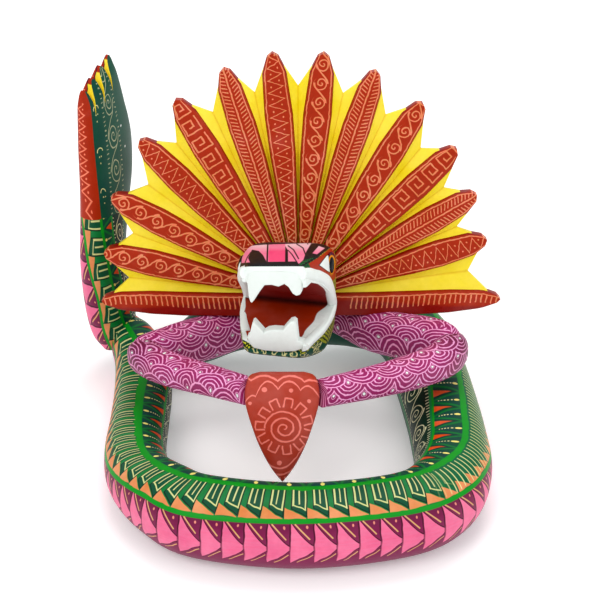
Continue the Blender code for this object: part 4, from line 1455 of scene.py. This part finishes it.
def head_section(back):
    """Half width, top and bottom of the head at a distance behind the hinge."""
    rows = sorted(curve_through(HEAD_ROWS, 4), key=lambda row: row[0])
    return [between([(row[0], row[value]) for row in rows], back) for value in (1, 2, 3)]


def head_aside(back):
    """Shift of the head's middle to the right, none at the tip of the snout."""
    return HEAD_ASIDE * held((SNOUT_TIP + back) / SNOUT_BLEND)


def brow_rise(x, height):
    """How much higher the right side of the brow stands than the left, in mm."""
    return x * HEAD_SLANT * held(height / SLANT_HEIGHT)


def cheek(back, height):
    """Half width of the head's side at a place, in mm."""
    half_width, top, bottom = head_section(back)
    middle = (top + bottom) / 2
    power = HEAD_POWER if height > middle else HEAD_LOWER_POWER
    share = min(CHEEK_LIMIT, abs(height - middle) / (top - middle))
    return half_width * (1 - share ** power) ** (1 / power)


def make_head():
    """Head with its cut mouth."""
    inside = mouth_material()
    spaced = curve_through(HEAD_ROWS, 6)
    bm, table = grid(len(spaced), HEAD_SIDES + 1)
    points = []
    for row in spaced:
        y, half_width, top, bottom, lean = row
        middle = (top + bottom) / 2
        half_height = (top - bottom) / 2
        ring = []
        for step in range(HEAD_SIDES + 1):
            power = HEAD_LOWER_POWER if step > HEAD_SIDES / 2 else HEAD_POWER
            across, high = rounded(2 * math.pi * step / HEAD_SIDES, power)
            x = across * half_width + head_aside(y)
            z = middle + high * half_height
            back = y + math.tan(math.radians(lean)) * (z - middle)
            ring.append(head_place(x, -back, z + brow_rise(x, z)))
        points.append(ring)
    lay(bm, table, points, {})
    close_ends(bm, 0)
    head = finish_mesh(bm, "head", [head_material(), inside])
    wedge = prism(
        "mouth_cut", MOUTH_ROOF + MOUTH_FLOOR, -MOUTH_CUT_REACH, MOUTH_CUT_REACH,
        lambda forward, side, up: head_place(side, forward, up), [inside],
    )
    return boolean(head, wedge, "DIFFERENCE")


def make_lip(name, side):
    """Raised white lip along one side of the mouth, round its corner."""
    rows = []
    for forward, up, half in LIP_PATH:
        back = -min(forward, LIP_REACH)
        sink = LIP_SINKS[side]
        if side < 0:
            sink += LEFT_LIP_FALL * held((LEFT_LIP_START - up) / LEFT_LIP_BLEND)
        x = side * (cheek(back, up) - sink) + head_aside(back)
        place = head_place(x, forward, up + brow_rise(x, up)) / MM
        rows.append((place.x, place.y, place.z, half, LIP_THICKNESS))
    if side < 0:
        rows.pop()
    outward = head_place(side, 0, 0) - head_place(0, 0, 0)
    white = bpy.data.materials["rim_white"]
    return tube(name, rows, 6, outward, LIP_SIDES, LIP_POWER, [white])


def make_rim(name, outline, depths):
    """White toothed rim of a jaw on the front of the snout."""
    low, high = depths
    bm = bmesh.new()
    bm.faces.new([bm.verts.new((x, 0, z)) for x, z in outline])
    pushed_out(bm, list(bm.faces), (0, high - low, 0))
    front = [edge for edge in bm.edges if all(vert.co.y > (high - low) / 2 for vert in edge.verts)]
    bmesh.ops.bevel(
        bm, geom=front, offset=RIM_EDGE, affect="EDGES", segments=4, profile=0.5, material=-1,
        clamp_overlap=True,
    )
    bmesh.ops.triangulate(bm, faces=bm.faces)
    for vert in bm.verts:
        x, depth, z = vert.co
        vert.co = head_place(x, low + depth - (abs(x) / RIM_BEND_ASIDE) ** 3 * RIM_BEND, z)
    bmesh.ops.recalc_face_normals(bm, faces=bm.faces)
    return finish_mesh(bm, name, [bpy.data.materials["rim_white"]], 35)


def make_eye(name, side):
    """One bulging eye."""
    bm = bmesh.new()
    bmesh.ops.create_uvsphere(bm, u_segments=32, v_segments=20, radius=1.0)
    for vert in bm.verts:
        x, y, z = (vert.co[axis] * EYE_RADII[axis] for axis in range(3))
        height = EYE_PLACE[2] + side * EYE_PLACE[0] * HEAD_SLANT + z
        if side < 0:
            height -= LEFT_EYE_DROP
        aside = side * EYE_PLACE[0] + head_aside(-EYE_PLACE[1])
        vert.co = head_place(aside + x, EYE_PLACE[1] + y, height)
    return finish_mesh(bm, name, [bpy.data.materials["eye_paint"]])


# Body


def banded_body(name, rows, steps, upward, outer, inner, leans, stripes, start, materials, choose):
    """Tube whose section is divided into painted bands."""
    rows = [
        (row[0], row[1], row[4] - UNDER_FLAT if row[2] is None else row[2]) + tuple(row[3:])
        for row in rows
    ]
    spaced = curve_through(rows, steps)
    bands = []
    for row in spaced:
        d, c, b, a = row[5:]
        knots = [d, c, b, a, 180.0, d + 360.0]
        angles = []
        for low, high, count in zip(knots, knots[1:], BAND_SEGMENTS):
            angles += [low + (high - low) * step / count for step in range(count)]
        bands.append(angles + knots[-1:])
    points = rings_along(spaced, upward, bands, SECTION_POWER, LOWER_POWER)
    edges = [sum(BAND_SEGMENTS[:count]) for count in range(len(BAND_SEGMENTS) + 1)]
    counts = []
    for band, pitches in ((1, inner), (2, outer)):
        middle = (edges[band] + edges[band + 1]) // 2
        run = [start]
        for index in range(1, len(spaced)):
            step = (points[index][middle] - points[index - 1][middle]).length / MM
            run.append(run[-1] + step / between(pitches, index / steps))
        counts.append(run)
    inner_count, outer_count = counts

    def band_of(j):
        return next(band for band in range(len(BAND_SEGMENTS)) if j < edges[band + 1])

    def coordinates(i, j, face_i, face_j):
        band = band_of(face_j)
        share = (j - edges[band]) / BAND_SEGMENTS[band]
        if band < 2:
            return inner_count[i], 1.0 - share
        if band == 2:
            return outer_count[i], share
        return outer_count[i], (bands[i][j] - bands[i][edges[3]]) * BELLY_ARC

    def teeth(i, j, face_i, face_j):
        return between(leans, i / steps), between(stripes, i / steps)

    bm, table = grid(len(spaced), edges[-1] + 1)
    maps = {"pattern": coordinates, "size": teeth}
    lay(bm, table, points, maps, choose=lambda i, j: choose(i / steps, band_of(j)))
    close_ends(bm, REAR_SLOT)
    for vert in bm.verts:
        vert.co.z = max(vert.co.z, 0.0)
    return finish_mesh(bm, name, materials)


def tail_point(behind, side, height):
    """Point on the tail board from its front edge's distance and height."""
    place = TAIL_BOARD_CENTRE + TAIL_FRONT * (TAIL_BOARD_DEPTH / 2 - behind) + TAIL_ACROSS * side
    return Vector((place.x, place.y, height)) * MM


def tail_comb():
    """Outline of the cut that leaves the tail's rounded feather tips."""
    places = list(TAIL_EDGE_BEFORE)
    for index, (behind, height) in enumerate(TAIL_TIPS):
        for aside, fall in TAIL_TIP_SHAPE:
            places.append((behind + aside, height - fall))
        if index + 1 < len(TAIL_TIPS):
            after = TAIL_TIPS[index + 1]
            places.append(((behind + after[0]) / 2, (height + after[1]) / 2 - TAIL_NOTCH_DEPTH))
    return places + TAIL_EDGE_BEHIND


def thin_tail_tips(tail):
    """Thin the tail's feathers towards their tips."""
    first, last = TAIL_TIPS[0], TAIL_TIPS[-1]
    tips = [(-20, first[1] - 1), *TAIL_TIPS, (60, last[1] + 1)]
    reach, least = TAIL_THINNING
    for vert in tail.data.vertices:
        place = (vert.co - STAND) / MM
        behind = TAIL_BOARD_DEPTH / 2 - (place - TAIL_BOARD_CENTRE).dot(TAIL_FRONT)
        top = between(tips, max(behind, tips[0][0]))
        share = held((top - place.z) / reach)
        keep = least + (1 - least) * math.sin(share * math.pi / 2)
        side = (place - TAIL_BOARD_CENTRE).dot(TAIL_ACROSS)
        vert.co -= TAIL_ACROSS * (side * (1 - keep)) * MM


# Crest


def crest_point(angle, radius, aside, depth):
    """Point of the crest board from mm; depth is measured towards the front."""
    out = Vector((math.cos(angle), 0, math.sin(angle)))
    across = Vector((-math.sin(angle), 0, math.cos(angle)))
    tilt = Matrix.Rotation(-CREST_LEAN, 3, "X")
    return CREST_CENTRE + tilt @ ((out * radius + across * aside + Vector((0, -depth, 0))) * MM)


def crest_columns():
    """Columns across the fan: kind, feather, direction, reach, side, room to the valley."""
    columns = []
    directions = [math.radians(row[0]) for row in CREST_FEATHERS]
    reaches = [row[1] for row in CREST_FEATHERS]
    for index, (angle, reach) in enumerate(zip(directions, reaches)):
        before = (angle - directions[index - 1]) / 2 if index else None
        after = (directions[index + 1] - angle) / 2 if index < LAST_FEATHER else None
        if index == 0:
            columns.append(("end", index, angle, reach, -1, before))
        columns.append(("foot", index, angle, reach, -1, before))
        for share in FEATHER_COLUMNS:
            columns.append(("face", index, angle, reach, share, before if share < 0 else after))
        columns.append(("foot", index, angle, reach, 1, after))
        if index < LAST_FEATHER:
            notch = (reach + reaches[index + 1]) / 2 * NOTCH_SHARE
            columns.append(("valley", index, angle + after, notch, 0, 0))
        else:
            columns.append(("end", index, angle, reach, 1, after))
    return columns


def feather_widths(index, room):
    """Half widths along one side of a feather; the two lowest have their own."""
    if room is None:
        return LOWEST_WIDTHS
    return LOWEST_UPPER if index in (0, LAST_FEATHER) else FEATHER_WIDTHS


def crest_place(column, share):
    """Direction, radius, offset and front height of a column at a share, in mm."""
    kind, index, angle, reach, side, room = column
    if kind == "foot":
        share *= YELLOW_END
    ridge = CREST_INNER_RADIUS + (reach - CREST_INNER_RADIUS) * share
    if kind == "valley":
        return angle, ridge, 0.0, -VALLEY_DEPTH * held(ridge / VALLEY_START - 1.0)
    half = FEATHER_HALF_WIDTH * between(feather_widths(index, room), share)
    radius = ridge - TIP_ROUNDING * share
    if kind == "end":
        radius -= 2 * FOOT_SETBACK * share
        return angle, radius, side * (half + 2 * FEATHER_FOOT), -END_DEPTH
    if kind == "foot":
        radius -= FOOT_SETBACK * share
    limit = math.inf if room is None else radius * math.tan(room)
    if kind == "foot":
        return angle, radius, side * min(half + FEATHER_FOOT, limit * FOOT_SHARE), 0.0
    low = FEATHER_RISE * (1 - TIP_FALL * share)
    high = FEATHER_RISE + FEATHER_CROWN * (1 - share)
    bulge = (1 - side * side) ** 0.6
    aside = side * min(half, limit * EDGE_SHARE)
    return angle, ridge + (radius - ridge) * abs(side), aside, low + (high - low) * bulge


def make_crest(materials, motif_slots):
    """Fan board: painted front sheet, plain back."""
    columns = crest_columns()
    shares = [step / CREST_ROWS for step in range(CREST_ROWS + 1)]
    places = [[crest_place(column, share) for share in shares] for column in columns]
    front = [[crest_point(*place) for place in column] for column in places]
    back = []
    for column, run in zip(columns, places):
        groove = BACK_GROOVE if column[0] == "valley" else 0.0
        back.append([crest_point(*place[:3], groove - CREST_BOARD) for place in run])

    def on_feather(face_i):
        left, right = columns[face_i:face_i + 2]
        return "valley" not in (left[0], right[0]) and left[1] == right[1]

    def choose(face_i, face_j):
        return motif_slots[CREST_FEATHERS[columns[face_i][1]][2]] if on_feather(face_i) else 0

    def coordinates(i, j, face_i, face_j):
        _, radius, aside, _ = places[i][j]
        if on_feather(face_i):
            return radius, aside
        return radius, 0.0 if columns[i][0] == "valley" else 5.0

    def half_width(i, j, face_i, face_j):
        index = columns[i][1]
        radius = CREST_INNER_RADIUS + (CREST_FEATHERS[index][1] - CREST_INNER_RADIUS) * shares[j]
        half = FEATHER_HALF_WIDTH * between(feather_widths(index, FEATHER_ROOM), shares[j])
        return min(half, radius * FEATHER_ROOM * EDGE_SHARE) + 0.5, index

    bm, table = grid(len(columns), len(shares))
    lay(bm, table, front, {"pattern": coordinates, "size": half_width}, choose=choose)
    column_layer = bm.verts.layers.int["column"]
    row_layer = bm.verts.layers.int["row"]
    pushed = bmesh.ops.extrude_face_region(bm, geom=list(bm.faces), use_keep_orig=True)
    for item in pushed["geom"]:
        if isinstance(item, bmesh.types.BMVert):
            item.co = back[item[column_layer]][item[row_layer]]
        elif isinstance(item, bmesh.types.BMFace):
            item.material_index = 1 if item.material_index == 0 else len(materials) - 1
    bmesh.ops.recalc_face_normals(bm, faces=bm.faces)
    return finish_mesh(bm, "crest_fan", materials, 35)


# Shield


def make_shield(materials):
    """Teardrop board, crowned in front, with soft edges."""
    shape = [(share * SHIELD_HALF_WIDTH, -place * SHIELD_HEIGHT) for place, share in SHIELD_SHAPE]
    right = curve_through(shape, 5)
    outline = [(x, z) for x, z in right] + [(-x, z) for x, z in reversed(right[:-1])]
    centre = (0.0, -SHIELD_HEIGHT * 0.42)
    tilt = Matrix.Rotation(-SHIELD_LEAN, 3, "X")
    half = SHIELD_THICKNESS / 2
    shells = [
        (0.02, -half), (0.35, -half), (0.7, -half + 0.1), (0.9, -half + 0.35), (0.955, -half + 0.9),
        (0.99, -half + 1.9), (1.0, -half + 3.2), (1.0, half - 3.2), (0.985, half - 1.8),
        (0.94, half - 0.8), (0.85, half - 0.2), (0.5, half), (0.02, half),
    ]
    bm, table = grid(len(shells), len(outline) + 1)
    points = []
    flat = []
    for share, depth in shells:
        ring = []
        places = []
        for x, z in outline + outline[:1]:
            px = centre[0] + (x - centre[0]) * share
            pz = centre[1] + (z - centre[1]) * share
            ring.append(SHIELD_TOP + tilt @ (Vector((px, depth, pz)) * MM))
            places.append((px, pz))
        points.append(ring)
        flat.append(places)
    front_shells = sum(depth < 0 for _, depth in shells)
    maps = {"pattern": lambda i, j, a, b: flat[i][j]}
    lay(bm, table, points, maps, choose=lambda i, j: 0 if i < front_shells else 1)
    close_ends(bm, 0)
    return finish_mesh(bm, "shield_board", materials, 50)


# Operators


class SerpentPiece:
    """Shared by the operators: the piece rides on the root body and stands for a node."""

    bl_options = {"REGISTER", "UNDO"}

    def mount(self, thing, slot, *nodes):
        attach(thing, "root")
        if nodes:
            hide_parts(*nodes)


class SERPENT_OT_body(SerpentPiece, bpy.types.Operator):
    """Carve and paint the coil, the tail and the neck"""

    bl_idname = "serpent.body"
    bl_label = "Body"

    def execute(self, context):
        steps = sizes().steps
        bands = [
            scrolls_material("scroll_band", paints().night_green, True, 1.25, 1.0), wedges_material(),
            teeth_material(), belly_material(), rear_material(),
        ]
        fan = [
            tail_red_material(), tail_side_material(),
            scrolls_material("tail_scrolls", paints().rear_green, False, 1.15, 0.5), tail_cut_material(),
        ]
        up = Vector((0, 0, 1))
        coil = banded_body(
            "coil", COIL_ROWS, steps, up, OUTER_PITCHES, INNER_PITCHES, COIL_LEANS, COIL_STRIPES,
            COIL_START, bands, lambda row, band: REAR_SLOT if row >= REAR_ROW else band,
        )
        tail = banded_body(
            "tail", TAIL_ROWS, steps, TAIL_FRONT, TAIL_PITCHES, TAIL_INNER_PITCHES, TAIL_UPRIGHT,
            TAIL_UPRIGHT, 0.0, bands + fan,
            lambda row, band: band if row >= FAN_ROW else FAN_SLOTS[band],
        )
        comb = prism("tail_cut", tail_comb(), -TAIL_CUT_REACH, TAIL_CUT_REACH, tail_point, [fan[3]])
        boolean(tail, comb, "DIFFERENCE")
        thin_tail_tips(tail)
        rear = [bands[REAR_SLOT]]
        join = tube("coil_end", JOIN_ROWS, steps, up, JOIN_SIDES, SECTION_POWER, rear)
        neck = tube("neck", NECK_ROWS, steps, NECK_UPWARD, NECK_SIDES, SECTION_POWER, rear)
        for thing in (coil, tail, join, neck):
            self.mount(thing, "serpent_paint", "serpent_body")
        return {"FINISHED"}


class SERPENT_OT_head(SerpentPiece, bpy.types.Operator):
    """Carve and paint the head, its toothed rims and its eyes"""

    bl_idname = "serpent.head"
    bl_label = "Head"

    def execute(self, context):
        plain_material("rim_white", paints().lip_white, streaks=0.1, gloss=0.38)
        eye_material()
        things = [
            make_head(),
            make_rim("upper_rim", UPPER_RIM, UPPER_RIM_DEPTHS),
            make_rim("lower_rim", LOWER_RIM, LOWER_RIM_DEPTHS),
            make_lip("lip_left", -1),
            make_lip("lip_right", 1),
            make_eye("eye_left", -1),
            make_eye("eye_right", 1),
        ]
        for thing in things:
            self.mount(thing, "serpent_paint", "serpent_body")
        return {"FINISHED"}


class SERPENT_OT_crest(SerpentPiece, bpy.types.Operator):
    """Carve and paint the fan of feathers"""

    bl_idname = "serpent.crest"
    bl_label = "Crest"

    def execute(self, context):
        materials = [yellow_material(), plain_material("valley_back", paints().yellow)]
        slots = {}
        for kind in ("strokes", "scrolls", "zigzag", "keys", "comb"):
            slots[kind] = len(materials)
            materials.append(feather_material(kind))
        materials.append(plain_material("feather_back", paints().feather_red))
        self.mount(make_crest(materials, slots), "feather_paint", "feather_crest")
        return {"FINISHED"}


class SERPENT_OT_arms(SerpentPiece, bpy.types.Operator):
    """Carve and paint both arms"""

    bl_idname = "serpent.arms"
    bl_label = "Arms"

    def execute(self, context):
        paint = arm_material()
        up = Vector((0, 0, 1))
        for side, (upper, fore) in ARMS.items():
            arm = tube(f"arm_{side}_skin", upper, ARM_STEPS, up, ARM_SIDES, ARM_POWER, [paint])
            forearm = tube(f"forearm_{side}", fore, ARM_STEPS, up, ARM_SIDES, ARM_POWER, [paint])
            boolean(arm, forearm, "UNION")
            self.mount(arm, "arm_paint", f"arm_{side}")
        return {"FINISHED"}


class SERPENT_OT_shield(SerpentPiece, bpy.types.Operator):
    """Carve and paint the shield"""

    bl_idname = "serpent.shield"
    bl_label = "Shield"

    def execute(self, context):
        materials = [shield_material(), plain_material("shield_back", paints().feather_red)]
        self.mount(make_shield(materials), "shield_paint", "shield")
        return {"FINISHED"}


def area_light(name, place, target, size, power, tint):
    """A soft lamp aimed at a point."""
    lamp = bpy.data.lights.new(name, "AREA")
    lamp.shape = "DISK"
    lamp.size = size
    lamp.energy = power * sizes().light
    lamp.color = tint
    thing = linked(name, lamp)
    thing.location = place
    thing.rotation_euler = (target - Vector(place)).to_track_quat("-Z", "Y").to_euler()


class SERPENT_OT_stage(bpy.types.Operator):
    """Lay the pale floor, hang the soft lights and set the camera"""

    bl_idname = "serpent.stage"
    bl_label = "Stage"
    bl_options = {"REGISTER", "UNDO"}

    def execute(self, context):
        bm = bmesh.new()
        bmesh.ops.create_grid(bm, x_segments=1, y_segments=1, size=FLOOR_HALF)
        floor_paint, tree, _ = new_paint("floor_white")
        shader = tree.nodes["Principled BSDF"]
        shader.inputs["Base Color"].default_value = (FLOOR_SHADE, FLOOR_SHADE, FLOOR_SHADE, 1)
        shader.inputs["Roughness"].default_value = 0.9
        shader.inputs["Emission Color"].default_value = (1, 1, 1, 1)
        shader.inputs["Emission Strength"].default_value = FLOOR_GLOW
        floor = finish_mesh(bm, "floor", [floor_paint], shift=Vector())
        world = bpy.data.worlds.new("studio")
        world.use_nodes = True
        sky = world.node_tree.nodes["Background"]
        sky.inputs["Color"].default_value = (1, 1, 1, 1)
        sky.inputs["Strength"].default_value = SKY_STRENGTH
        context.scene.world = world
        aim = VIEW_POINT + STAND
        for name, (place, size, power, tint) in LAMPS.items():
            area_light(name, place, aim, size, power, tint)
        lens = bpy.data.cameras.new("photo_camera")
        lens.sensor_width = 36
        lens.lens = VIEW_LENS
        camera = linked("photo_camera", lens)
        back = Vector((0, -math.cos(VIEW_ELEVATION), math.sin(VIEW_ELEVATION)))
        camera.location = aim + back * VIEW_DISTANCE
        camera.rotation_euler = (math.pi / 2 - VIEW_ELEVATION, 0, 0)
        context.scene.camera = camera
        context.scene.view_settings.view_transform = "Standard"
        return {"FINISHED"}


class SERPENT_PT_panel(bpy.types.Panel):
    """Lists the pieces, paints and sizes of the serpent."""

    bl_idname = "SERPENT_PT_panel"
    bl_label = "Feathered serpent"
    bl_space_type = "VIEW_3D"
    bl_region_type = "UI"
    bl_category = "Serpent"

    def draw(self, context):
        for kind in OPERATORS:
            self.layout.operator(kind.bl_idname)
        for owner in (context.scene.serpent_sizes, context.scene.serpent_paints):
            column = self.layout.column()
            for name in owner.__annotations__:
                column.prop(owner, name)


OPERATORS = (
    SERPENT_OT_body, SERPENT_OT_head, SERPENT_OT_crest, SERPENT_OT_arms, SERPENT_OT_shield,
    SERPENT_OT_stage,
)
CLASSES = (SerpentPaints, SerpentSizes) + OPERATORS + (SERPENT_PT_panel,)


def register():
    for kind in CLASSES:
        bpy.utils.register_class(kind)
    bpy.types.Scene.serpent_paints = bpy.props.PointerProperty(type=SerpentPaints)
    bpy.types.Scene.serpent_sizes = bpy.props.PointerProperty(type=SerpentSizes)


def unregister():
    del bpy.types.Scene.serpent_sizes
    del bpy.types.Scene.serpent_paints
    for kind in reversed(CLASSES):
        bpy.utils.unregister_class(kind)


def main():
    """Build everything."""
    register()
    bpy.ops.serpent.body()
    bpy.ops.serpent.head()
    bpy.ops.serpent.crest()
    bpy.ops.serpent.arms()
    bpy.ops.serpent.shield()
    bpy.ops.serpent.stage()


if __name__ == "__main__":
    main()
